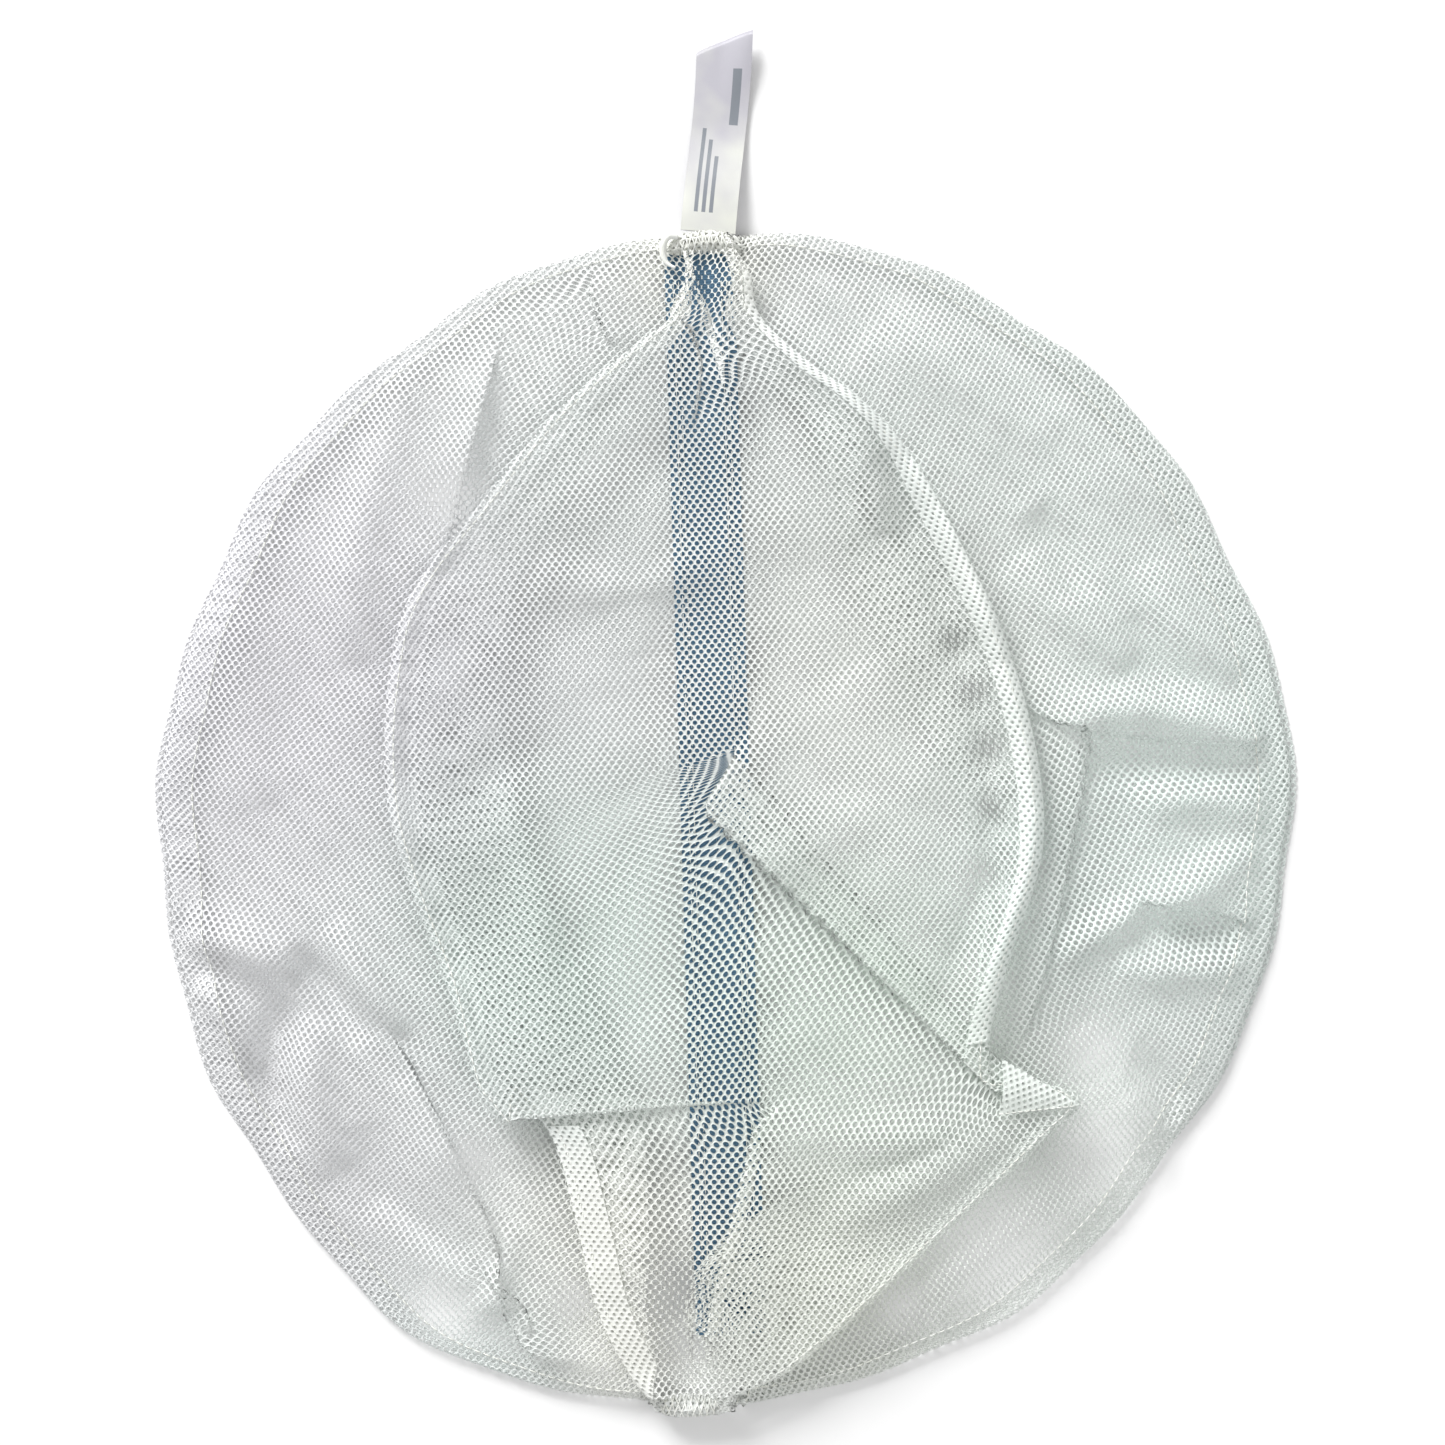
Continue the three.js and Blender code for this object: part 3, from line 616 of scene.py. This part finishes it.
def tape_material():
    """Woven tape: fine ribs along it crossed by the weft."""
    nodes = Nodes("zip_tape_weave")
    place = nodes.place()
    ribs = nodes.wave(place, "Y", 330.0, 0.6)
    warp = nodes.wave(place, "X", 420.0, 0.4)
    weave = nodes.math("ADD", ribs, nodes.math("MULTIPLY", warp, 0.7))
    stops = [(0.3, (0.060, 0.138, 0.222)), (0.7, (0.092, 0.198, 0.305))]
    base = nodes.ramp(nodes.noise(place, 45, 3.0), stops)
    color = nodes.tinted(base, nodes.math("ADD", nodes.math("MULTIPLY", weave, 0.16), 0.86))
    normal = nodes.bump(weave, 0.25 * MM, 0.5)
    return nodes.finish(nodes.add("BsdfPrincipled", {
        "Base Color": color, "Roughness": 0.82, "Normal": normal, "Sheen Weight": 0.2}))


def coil_material():
    nodes = Nodes("zip_coil_nylon")
    stops = [(0.3, (0.055, 0.115, 0.170)), (0.7, (0.085, 0.155, 0.215))]
    color = nodes.ramp(nodes.noise(nodes.place(), 300), stops)
    return nodes.finish(nodes.add("BsdfPrincipled", {"Base Color": color, "Roughness": 0.38}))


def enamel_material():
    nodes = Nodes("zip_enamel")
    place = nodes.place()
    color = nodes.ramp(nodes.noise(place, 500, 4.0), [(0.35, (0.06, 0.13, 0.22)), (0.7, (0.10, 0.19, 0.31))])
    rough = nodes.math("ADD", nodes.math("MULTIPLY", nodes.noise(place, 900, 4.0), 0.3), 0.2)
    normal = nodes.bump(nodes.noise(place, 1400), 0.05 * MM, 0.4)
    return nodes.finish(nodes.add("BsdfPrincipled", {
        "Base Color": color, "Roughness": rough, "Metallic": 0.55, "Normal": normal, "Coat Weight": 0.3}))


# Plain bars printed on the label, on its cloth coordinates in metres: middle and half width across,
# start and end along. The foot of the ribbon's middle line is at (0.5, 0.5).
LABEL_BARS = [
    (0.4950, 0.0007, 0.507, 0.538), (0.4977, 0.0007, 0.507, 0.534),
    (0.5004, 0.0007, 0.507, 0.528), (0.5050, 0.0016, 0.540, 0.560),
]


def label_material():
    """Satin ribbon with plain printed bars and no lettering, with painted shade that darkens it towards its
    far end.
    """
    nodes = Nodes("satin_label_weave")
    place = nodes.place()
    uv = nodes.add("UVMap", uv_map="cloth").outputs["UV"]
    warp = nodes.wave(uv, "X", 1500.0, 0.5)
    split = nodes.add("SeparateXYZ", {0: uv})
    across, along = split.outputs[0], split.outputs[1]
    # Painted shade: the ribbon is coloured darker and greyer from its foot at the knot towards its far end and
    # under layer, on top of a random tone.
    painted_shade_toward_end = nodes.math("MULTIPLY", nodes.math("SUBTRACT", along, 0.505), 9.0, clamp=True)
    tone_and_painted_shade = nodes.math("ADD", nodes.noise(place, 60, 2.0), painted_shade_toward_end)
    color = nodes.ramp(tone_and_painted_shade, [(0.45, (0.70, 0.71, 0.65)), (1.0, (0.50, 0.49, 0.54))])
    bars = None
    for middle, half, first, last in LABEL_BARS:
        near = nodes.math("LESS_THAN", nodes.math("ABSOLUTE", nodes.math("SUBTRACT", across, middle)), half)
        inside = nodes.math("MULTIPLY", nodes.math("GREATER_THAN", along, first),
                            nodes.math("LESS_THAN", along, last))
        bar = nodes.math("MULTIPLY", near, inside)
        bars = bar if bars is None else nodes.math("MAXIMUM", bars, bar)
    printed = nodes.add("Mix", {0: bars, 6: color, 7: (0.22, 0.24, 0.27, 1)}, data_type="RGBA")
    normal = nodes.bump(nodes.math("ADD", warp, nodes.noise(uv, 900, 3.0)), 0.06 * MM, 0.5)
    return nodes.finish(nodes.add("BsdfPrincipled", {
        "Base Color": printed.outputs[2], "Roughness": 0.34, "Normal": normal, "Sheen Weight": 0.15}))


knit = mesh_material("mesh_knit", HOLE_RADIUS)
seam_knit = mesh_material("mesh_knit_seam", SEAM_HOLE_RADIUS, 1.03)
knot_knit = mesh_material("mesh_knit_gathered", GATHERED_HOLE_RADIUS, 1.02)
thread = thread_material()
tape = tape_material()
coil = coil_material()
enamel = enamel_material()
satin = label_material()


# ---- gores ---------------------------------------------------------------------------------------
SIDE_ROWS = 300
FRONT_ROWS = 320
BACK_COLUMNS = 110
SIDE_COLUMNS = 240
FRONT_COLUMNS = 260
# The back cloth's edge under the zip tape, from the zip's line.
BACK_EDGE = 6.0


def profile_rows(profile, rows, count):
    """x and z grids (rows by count), on smooth curves through a list of control (x, z) column pairs."""
    u = np.linspace(0, len(profile) - 1, count)
    last = len(profile) - 1
    start = np.minimum(np.floor(u).astype(int), last - 1)
    t = (u - start)[None, :]
    grids = []
    for k in (0, 1):
        columns = np.array([p[k] * np.ones(rows) for p in profile]).T
        a, b, c, d = [columns[:, np.clip(start + step, 0, last)] for step in (-1, 0, 1, 2)]
        grids.append(b + 0.5 * t * (c - a + t * (2 * a - 5 * b + 4 * c - d + t * (3 * (b - c) + d - a))))
    return grids[0], grids[1], u


def row_length(x, z, way=1):
    steps = way * np.hypot(np.diff(x, axis=1), np.diff(z, axis=1))
    return x[:, :1] + np.concatenate([np.zeros((len(x), 1)), np.cumsum(steps, axis=1)], axis=1)


def side_frame(side):
    v = np.linspace(0.004, 0.996, SIDE_ROWS)
    rim_x, rim_y = rim_point(rim_angle(side, v))
    return v, rim_x, rim_y, INWARD[side]


def back_gore(side):
    v, rim_x, rim_y, way = side_frame(side)
    edge = -way * BACK_EDGE
    rise_from = -way * np.minimum(35, np.abs(rim_x) * 0.75 + 2)
    rise_to = -way * np.minimum(17, mix(6.0, np.abs(rise_from), 0.5))
    inset = np.minimum(1.4, np.abs(rim_x) * 0.2) * way
    profile = [
        (rim_x + inset, RIM_SEAM_Z), (rim_x + 3 * inset, FLOOR_CLOTH_Z),
        (mix(rim_x, rise_from, 0.5), FLOOR_CLOTH_Z), (rise_from, FLOOR_CLOTH_Z),
        (rise_to, mix(FLOOR_CLOTH_Z, UNDER_TAPE_Z, 0.9)), (edge, UNDER_TAPE_Z),
    ]
    x, z, _ = profile_rows(profile, SIDE_ROWS, BACK_COLUMNS)
    t = np.clip((x - rim_x[:, None]) / (edge - rim_x[:, None]), 0, 1)
    y = mix(rim_y[:, None], seam_y(v)[:, None], t)
    inner = smoothstep(0, 20, 200 - np.hypot(x, y)) * smoothstep(14, 36, np.abs(x))
    lengths = (row_length(x, z, way), y)
    z = np.maximum(z, 0.3) + inner * 0.8 * (1 + lumps(x, y, 30, 1.3))
    grid = (x, y, z)
    obj = cloth_sheet(f"back_cloth_{side}", grid, lengths, knit, grain=-way * 2.0, offset=0.0007)
    declare_sheet(grid)
    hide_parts(f"back_gore_{side}")


def side_gore(side):
    v, rim_x, rim_y, way = side_frame(side)
    seam_line_y = seam_y(v)
    seam = seam_x(side, seam_line_y)
    fold = seam + way * fold_reach(side, v)
    low, high = lower_z(v), return_z(v)
    bend = np.minimum(3, 0.4 * fold_reach(side, v))
    round_in = np.minimum(1.4, np.abs(rim_x) * 0.2) * way
    profile = [
        (rim_x + round_in, RIM_SEAM_Z + 0.1), (rim_x, RIM_EDGE_Z), (rim_x + round_in * 1.6, RIM_TOP_Z),
        (mix(rim_x, seam, 0.13), RIM_TOP_Z + 0.3), (mix(rim_x, seam, 0.6), mix(RIM_TOP_Z, low, 0.7)),
        (fold - way * bend, low), (fold, (low + high) / 2), (fold - way * bend, high),
        (seam + way * 0.9, high + 0.3),
    ]
    x, z, u = profile_rows(profile, SIDE_ROWS, SIDE_COLUMNS)
    t = np.clip((x - rim_x[:, None]) / (seam - rim_x)[:, None], 0, 1)
    y = mix(rim_y[:, None], seam_line_y[:, None], t)
    last = len(profile) - 1
    own = (1 - smoothstep(last - 2.5, last - 1, u))[None, :] * smoothstep(0, 10, 203 - np.hypot(x, y))
    shared = smoothstep(last - 0.8, last, u)[None, :]
    ax, ay, az, au, av = folded(x, y, SIDE_FOLDS[side])
    bx, by, bz, _, _ = folded(x, y, FRONT_FOLDS)
    lengths = (row_length(x, z, way) + own * au, y + own * av)
    level = smoothstep(0, 14, 204 - np.hypot(x, y)) * smoothstep(0.6, 2.6, u)[None, :]
    lift = own * az + shared * bz
    wrinkle = relief(x, y) * level
    height = np.clip(z + wrinkle + lift, LOWEST_SIDE_Z, HIGHEST_Z)
    grid = (x + own * ax + shared * bx, y + own * ay + shared * by, height)
    obj = cloth_sheet(f"side_cloth_{side}", grid, lengths, knit, grain=way * 9.0, offset=0.001)
    declare_sheet(grid)
    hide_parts(f"side_gore_{side}")
    return grid


# The front's rolled edges: height, distance in from the edge and half width of the roll and its valley.
EDGE_ROLLS = {"left": [(1.1, 3.5, 3.2), (-1.2, 10, 4)], "right": [(3.6, 4.5, 3.8), (-2.0, 16, 4.5)]}


def edge_height(side, inward):
    return sum(height * np.exp(-((inward - at) / width) ** 2) for height, at, width in EDGE_ROLLS[side])


def front_gore():
    y_rows = np.linspace(SEAM_HALF_LENGTH - 0.15, -SEAM_HALF_LENGTH + 0.15, FRONT_ROWS)
    v = np.arccos(y_rows / SEAM_HALF_LENGTH) / math.pi
    left, right = seam_x("left", y_rows), seam_x("right", y_rows)
    base = return_z(v)
    edge = base + FRONT_RISE
    shoulder = mix(edge, base + 1.6, np.sin(math.pi * v))
    left_reach = np.minimum(fold_reach("left", v), 44)
    right_reach = np.minimum(fold_reach("right", v), 0.4 * (right - left))
    tuck = np.minimum(1.2, (right - left) * 0.06)
    profile = [
        (left + tuck, base + 0.6), (left, base + 1.8), (left + tuck * 1.7, edge),
        (left + np.minimum(10, 0.6 * left_reach), edge), (left + left_reach + 2, shoulder),
        ((left + left_reach + right - right_reach) / 2, between(FRONT_MIDDLE_Z, v)),
        (right - right_reach - 2, shoulder), (right - np.minimum(10, 0.6 * right_reach), edge),
        (right - tuck * 1.7, edge), (right, base + 1.8), (right - tuck, base + 0.6),
    ]
    x, z, _ = profile_rows(profile, FRONT_ROWS, FRONT_COLUMNS)
    y = y_rows[:, None] * np.ones_like(x)
    right_part = smoothstep(-66, -36, y) * (1 - 0.8 * smoothstep(56, 110, y))
    z = z + right_part * edge_height("right", right[:, None] - x)
    left_part = smoothstep(-104, -84, y) * (1 - smoothstep(20, 120, y))
    z = z + left_part * edge_height("left", x - left[:, None])
    dx, dy, dz, du, dv = folded(x, y, FRONT_FOLDS)
    lengths = (row_length(x, z) + du, y + dv)
    grid = (x + dx, y + dy, np.minimum(z + relief(x, y) + dz, HIGHEST_Z))
    obj = cloth_sheet("front_cloth", grid, lengths, knit, grain=-3.0, offset=0.002)
    declare_sheet(grid)
    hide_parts("front_gore")
    return grid


# ---- seam allowances and their stitching ---------------------------------------------------------
def seam_band(name, grid, near, far, below, from_end=False, columns=9, material=seam_knit):
    """A turned edge: a band that follows a cloth's edge below it, or above it where below is negative."""
    width = np.asarray(far, float) * np.ones(len(grid[0]))
    offsets = near + (width - near)[:, None] * np.linspace(0, 1, columns)[None, :]
    x, y, z = traced(grid, offsets, from_end)
    middle = np.stack([x, y, z], axis=-1)[:, columns // 2]
    along = np.concatenate([[0], np.cumsum(np.linalg.norm(np.diff(middle, axis=0), axis=1))])
    band = (x, y, np.maximum(z - below, LOWEST_BAND_Z))
    obj = cloth_sheet(name, band, (offsets, -along[:, None] * np.ones_like(x)), material, grain=4.0)
    declare_sheet(band)
    return obj


def threads(name, paths):
    return tubes(name, paths, THREAD_RADIUS, THREAD_SIDES, thread)


def stitch_row(name, grid, offset, from_end, length=2.6, gap=0.9, above=0.3, skip=6):
    offsets = np.full((len(grid[0]), 1), float(offset))
    x, y, z = traced(grid, offsets, from_end)
    line = np.stack([x[:, 0], y[:, 0], z[:, 0] + above], axis=-1)[skip:-skip]
    threads(name, stitches(line, length, gap))


for side in INWARD:
    back_gore(side)
side_grids = {side: side_gore(side) for side in INWARD}
front_grid = front_gore()

for side in INWARD:
    rim_band = seam_band(f"rim_allowance_{side}", side_grids[side],
                         SEAM_INSET, RIM_ALLOWANCE, 0.7)
    stitch_row(f"rim_stitching_{side}", side_grids[side], RIM_STITCH_AT, False)
    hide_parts(f"rim_seam_{side}")

front_y = np.linspace(SEAM_HALF_LENGTH, -SEAM_HALF_LENGTH, FRONT_ROWS)
narrow = np.minimum(12.8, 1.5 + (SEAM_HALF_LENGTH - np.abs(front_y)) * 0.3)
wide_left = np.interp(front_y, [-203, -192, -153, -108], [3, 13, 24, 34])
left_width = mix(narrow, wide_left, smoothstep(-95, -108, front_y))
left_band = seam_band("front_allowance_left", front_grid, SEAM_INSET, left_width, UNDER_CLOTH)
right_band = seam_band("front_allowance_right", front_grid, SEAM_INSET, 0.8 * narrow,
                       UNDER_CLOTH, from_end=True)
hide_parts("front_seam_left")
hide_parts("front_seam_right")
# The right seam's edge is rolled over the front; it narrows towards the top pole.
rolled_y = [-70, 110, 150, 196]
rolled = (front_y < rolled_y[-1]) & (front_y > rolled_y[0])
rolled_width = np.interp(front_y[rolled], rolled_y, [10.0, 10.0, 7.5, 3.6])
seam_band("front_rolled_edge_right", [g[rolled] for g in front_grid], 1.2, rolled_width, -0.6,
          from_end=True, material=knot_knit)
tapered = front_y < -104
seam_band("front_rolled_edge_left", [g[tapered] for g in front_grid], 2.0,
          np.minimum(13.5, left_width[tapered]), -0.5, material=knot_knit)


CORNER_POINTS = [(98, -85.5), (125, -103), (96.5, -105)]


def turned_corner():
    """Corner of the right seam allowance, turned out where the front doubles back: a dense triangle."""
    s, t = np.meshgrid(np.linspace(0, 1, 30), np.linspace(0, 1, 30))
    inner, tip, heel = np.array(CORNER_POINTS)
    near, far = mix(inner[:, None, None], heel[:, None, None], t), tip[:, None, None]
    spread = 1 - s * 0.97
    x = mix(near[0], far[0], s) + 0.8 * np.sin(t * math.pi) * spread
    y = near[1] * spread + far[1] * (1 - spread)
    z = CORNER_Z + 1.6 * np.sin(math.pi * t) * spread - 2.0 * s + 0.25 * lumps(x, y, 6, 9.1)
    grid = (x, y, z)
    obj = cloth_sheet("front_allowance_corner", grid, (x, y), knot_knit, grain=35.0)
    declare_sheet(grid)
    low = np.stack([x[-1], y[-1], z[-1] + 0.3], axis=-1)
    threads("front_corner_stitching", stitches(low, 1.6, 0.7))


turned_corner()
stitch_row("front_stitching_left", front_grid, FRONT_STITCH_AT, False, length=2.2)
stitch_row("front_stitching_right", front_grid, FRONT_STITCH_AT, True, length=2.2)


# ---- zip -----------------------------------------------------------------------------------------
def zip_tape(side):
    way = -INWARD[side]
    across = np.linspace(way * 0.05, way * TAPE_HALF_WIDTH, 14)
    down = np.linspace(TAPE_TOP_Y + TAPE_END_IN_KNOT, TAPE_BOTTOM_Y, 240)
    x, y = np.meshgrid(across, down)
    z = TAPE_Z + 0.3 + 0.15 * np.sin(y / 9.0) * smoothstep(5, 12, np.abs(x))
    z = z + 0.35 * np.exp(-((np.abs(x) - 5.2) / 2.2) ** 2)
    grid = (x, y, z)
    obj = cloth_sheet(f"zip_tape_weave_{side}", grid, (x, y), tape)
    declare_sheet(grid)
    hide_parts(f"zip_tape_{side}")


COIL_INNER = 0.8
COIL_WIRE = 0.24
COIL_PITCH = 1.5
COIL_STEPS = 12


def zip_coil(side):
    """Helical coil under the tape's inner edge."""
    way = -INWARD[side]
    width = (COIL_BOX[1][0] - COIL_BOX[0][0]) / MM
    height = (COIL_BOX[1][2] - COIL_BOX[0][2]) / MM
    low, high = COIL_BOX[0][1] / MM - ORIGIN_Y, COIL_BOX[1][1] / MM - ORIGIN_Y
    turns = int((high - low) / COIL_PITCH)
    angle = np.linspace(0, 2 * math.pi * turns, turns * COIL_STEPS)
    x = way * (COIL_INNER + width / 2 + (width / 2 - COIL_WIRE) * np.cos(angle))
    z = COIL_BOX[0][2] / MM + height / 2 + (height / 2 - COIL_WIRE) * np.sin(angle)
    y = np.linspace(low + COIL_WIRE, high - COIL_WIRE, len(angle))
    path = np.stack([x, y, z], axis=-1)
    obj = tubes(f"zip_coil_helix_{side}", [path], COIL_WIRE, 6, coil)
    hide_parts(f"zip_coil_{side}")


ZIP_STITCH_ROWS = (9.5, 7.6)


def zip_stitching(side):
    way = -INWARD[side]
    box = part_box(f"zip_stitch_{side}")
    low, high = box[0][1] / MM - ORIGIN_Y, box[1][1] / MM - ORIGIN_Y
    z = (box[0][2] + box[1][2]) / 2 / MM
    paths = []
    for x in ZIP_STITCH_ROWS:
        y = np.linspace(high, low, 200)
        line = np.stack([np.full_like(y, way * x), y, np.full_like(y, z)], axis=-1)
        paths += stitches(line, 2.4, 0.8, sag=0.3)
    obj = threads(f"zip_stitching_{side}", paths)
    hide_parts(f"zip_stitch_{side}")


for side in INWARD:
    zip_tape(side)
    zip_coil(side)
    zip_stitching(side)

for node in ("zip_slider", "zip_pull", "zip_open_stop", "zip_closed_stop_left", "zip_closed_stop_right"):
    carried = bpy.data.objects[node]
    carried.data.materials.clear()
    carried.data.materials.append(enamel)


# ---- tail of the back seam, below the zip --------------------------------------------------------
def back_tail():
    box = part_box("back_seam_tail")
    x0, x1 = box[0][0] / MM - ORIGIN_X, box[1][0] / MM - ORIGIN_X
    y0, y1 = box[0][1] / MM - ORIGIN_Y, box[1][1] / MM - ORIGIN_Y
    x, y = np.meshgrid(np.linspace(x0, x1, 16), np.linspace(y1, y0, 22))
    z = (box[0][2] + box[1][2]) / 2 / MM + 0.35 * np.cos(x * 1.1) + 0.15 * lumps(x, y, 3, 5.5)
    grid = (x, y, z)
    obj = cloth_sheet("back_seam_tail_cloth", grid, (x, y), seam_knit)
    declare_sheet(grid)
    line = np.stack([np.full(12, 0.6), np.linspace(y1, y0, 12), np.full(12, box[1][2] / MM)], axis=-1)
    threads("back_seam_tail_stitching", stitches(line, 2.0, 0.7))
    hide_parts("back_seam_tail")


# ---- gathered knots at the poles -----------------------------------------------------------------
KNOT_CLOTH = (1.25, 1.05, 0.80)
KNOT_BINDING = (1.10, 1.12, 0.92)
BINDING_TURNS = 20
BINDING_RADIUS = 0.26


def knot_swell(s):
    """Thickness along the knot, from its full size in the middle to almost nothing at the ends."""
    return np.clip(1 - np.abs(s) ** 4, 0.02, 1) ** 0.5


def knot(name, node, seed, lean):
    """Gathered cloth bound with crossing thread, a little wider than deep; its ends lean towards +Y."""
    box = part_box(node)
    cx = (box[0][0] + box[1][0]) / 2 / MM - ORIGIN_X
    cy = (box[0][1] + box[1][1]) / 2 / MM - ORIGIN_Y
    cz = (box[0][2] + box[1][2]) / 2 / MM
    hx, hy, hz = [(box[1][k] - box[0][k]) / 2 / MM for k in range(3)]
    around, along = 48, 60
    theta = np.linspace(0, 2 * math.pi, around + 1)[None, :]
    s = np.linspace(-1, 1, along)[:, None]
    swell = knot_swell(s)
    pleat = 1 + 0.10 * np.cos(9 * theta + 3 * s + seed) + 0.05 * np.cos(17 * theta - 4 * s)
    x = cx + hx * KNOT_CLOTH[0] * s + 0 * theta
    y = cy + hy * KNOT_CLOTH[1] * swell * pleat * np.cos(theta) + lean * s ** 2
    z = cz + hz * KNOT_CLOTH[2] * swell * pleat * np.sin(theta)
    lump = 0.8 * lumps(x, y + z, 3.5, seed)
    grid = (x, y + lump * np.cos(theta), z + lump * np.sin(theta))
    girth = theta * (hy + hz) / 2
    obj = cloth_sheet(f"{name}_gather", grid, (x, girth + 0 * x), knot_knit)
    declare_sheet(grid)
    paths = []
    rng = np.random.default_rng(int(seed * 10))
    for turn in range(BINDING_TURNS):
        start = -0.88 + 1.76 * turn / (BINDING_TURNS - 1)
        reach = 0.10 * rng.uniform(0.6, 1.4) * (1 if turn % 2 else -1)
        t = np.linspace(-0.15, 1.15, 18) * math.pi
        at = start + reach * np.cos(t)
        body = knot_swell(at)
        paths.append(np.stack([
            cx + hx * KNOT_BINDING[0] * at, cy + hy * KNOT_BINDING[1] * body * np.cos(t) + lean * at ** 2,
            cz + hz * KNOT_BINDING[2] * body * np.sin(t),
        ], axis=-1))
    tubes(f"{name}_binding", paths, BINDING_RADIUS, THREAD_SIDES, thread)
    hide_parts(node)


def thread_curl():
    """The loose end of the binding thread, curled back on itself."""
    points = np.array([(-7.5, 208.5, 10.5), (-10.5, 208.6, 11.2), (-12.4, 206.2, 11.0), (-12.8, 202.8, 10.2),
                       (-11.6, 199.4, 10.0), (-8.6, 197.4, 10.6)])
    position = np.linspace(0, len(points) - 1, 30)
    path = np.stack([smooth_at(points[:, k], position) for k in range(3)], axis=-1)
    radius = 1.25 - 0.75 * smoothstep(0.55, 1.0, np.linspace(0, 1, 30))
    obj = tubes("loose_thread_curl", [path], radius, 10, thread)
    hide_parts("thread_end")


# ---- care label ----------------------------------------------------------------------------------
LABEL_FOOT = (3.4, 210.6, 4.8)
LABEL_LEAN = math.radians(-6.5)
LABEL_HALF_WIDTH = 9.8
LABEL_SIDES = (65.5, 74.5)


def care_label():
    """Ribbon folded in two with its fold on a slant, dropping from the knot to the floor."""
    base_x, base_y, base_z = LABEL_FOOT
    lean, half = LABEL_LEAN, LABEL_HALF_WIDTH
    across = np.linspace(-half, half, 26)
    down = np.linspace(0, 1, 90)
    s, t = np.meshgrid(across, down)
    long = mix(*LABEL_SIDES, ((s + half) / (2 * half)) ** 0.8)
    out = np.where(t < 0.5, 2 * t, 2 - 2 * t) * long
    under = smoothstep(0.485, 0.515, t)
    share = out / long
    sway = 1.2 * np.sin(share * 3.0) * smoothstep(0, 1, share)
    x = base_x + (s + sway) * math.cos(lean) - out * math.sin(lean)
    y = base_y + (s + sway) * math.sin(lean) + out * math.cos(lean)
    drop = base_z * (1 - smoothstep(0, 0.6, share))
    curl = 3.4 * smoothstep(0.62, 1, share) * smoothstep(-2, half, s)
    wave = 0.5 * np.sin(share * 7 + 0.2 * s) * smoothstep(0.05, 0.3, share)
    z = drop + curl + wave + mix(1.5, 0.9, under) + 0.5 * (1 - share) * (1 - under)
    grid = (x, y, np.maximum(z, 0.25))
    v = np.where(t < 0.5, out, 2 * long - out)
    obj = cloth_sheet("satin_label", grid, (s, v), satin)
    declare_sheet(grid)
    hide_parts("care_label")


back_tail()
knot("top_knot", "top_bar_tack", 1.7, -2.2)
knot("bottom_knot", "bottom_bar_tack", 4.2, 0.6)
thread_curl()
care_label()


# ---- floor, light and camera ---------------------------------------------------------------------
def stage_floor():
    nodes = Nodes("pale_floor")
    material = nodes.finish(nodes.add("BsdfDiffuse", {"Color": (0.93, 0.93, 0.93, 1)}))
    mesh = bpy.data.meshes.new("floor")
    half = 3.0
    corners = [(-half, -half, 0), (half, -half, 0), (half, half, 0), (-half, half, 0)]
    mesh.from_pydata(corners, [], [(0, 1, 2, 3)])
    mesh.materials.append(material)
    floor = bpy.data.objects.new("floor", mesh)
    bpy.context.scene.collection.objects.link(floor)


def area_light(name, place, size, watts):
    data = bpy.data.lights.new(name, "AREA")
    data.size = size
    data.energy = watts
    lamp = bpy.data.objects.new(name, data)
    lamp.location = place
    lamp.rotation_euler = (Vector((0, 0, 0)) - Vector(place)).to_track_quat("-Z", "Y").to_euler()
    bpy.context.scene.collection.objects.link(lamp)


# Place in metres, size and watts.
stage_floor()
area_light("key_light", (-2.2, 3.9, 2.4), 2.0, 305)
area_light("fill_light", (1.4, -1.2, 1.9), 1.6, 11)
WORLD_STRENGTH = 0.55

world = bpy.data.worlds.new("studio")
world.use_nodes = True
world.node_tree.nodes["Background"].inputs["Color"].default_value = (1, 1, 1, 1)
world.node_tree.nodes["Background"].inputs["Strength"].default_value = WORLD_STRENGTH
bpy.context.scene.world = world
bpy.context.scene.view_settings.view_transform = "Standard"

FRAME_WIDTH = 0.516
camera_data = bpy.data.cameras.new("camera")
camera_data.lens = 60
camera = bpy.data.objects.new("camera", camera_data)
camera.location = (-0.0001, 0.0009, FRAME_WIDTH * camera_data.lens / camera_data.sensor_width + 0.006)
camera.rotation_euler = (0, 0, math.radians(-1.7))
bpy.context.scene.collection.objects.link(camera)
bpy.context.scene.camera = camera
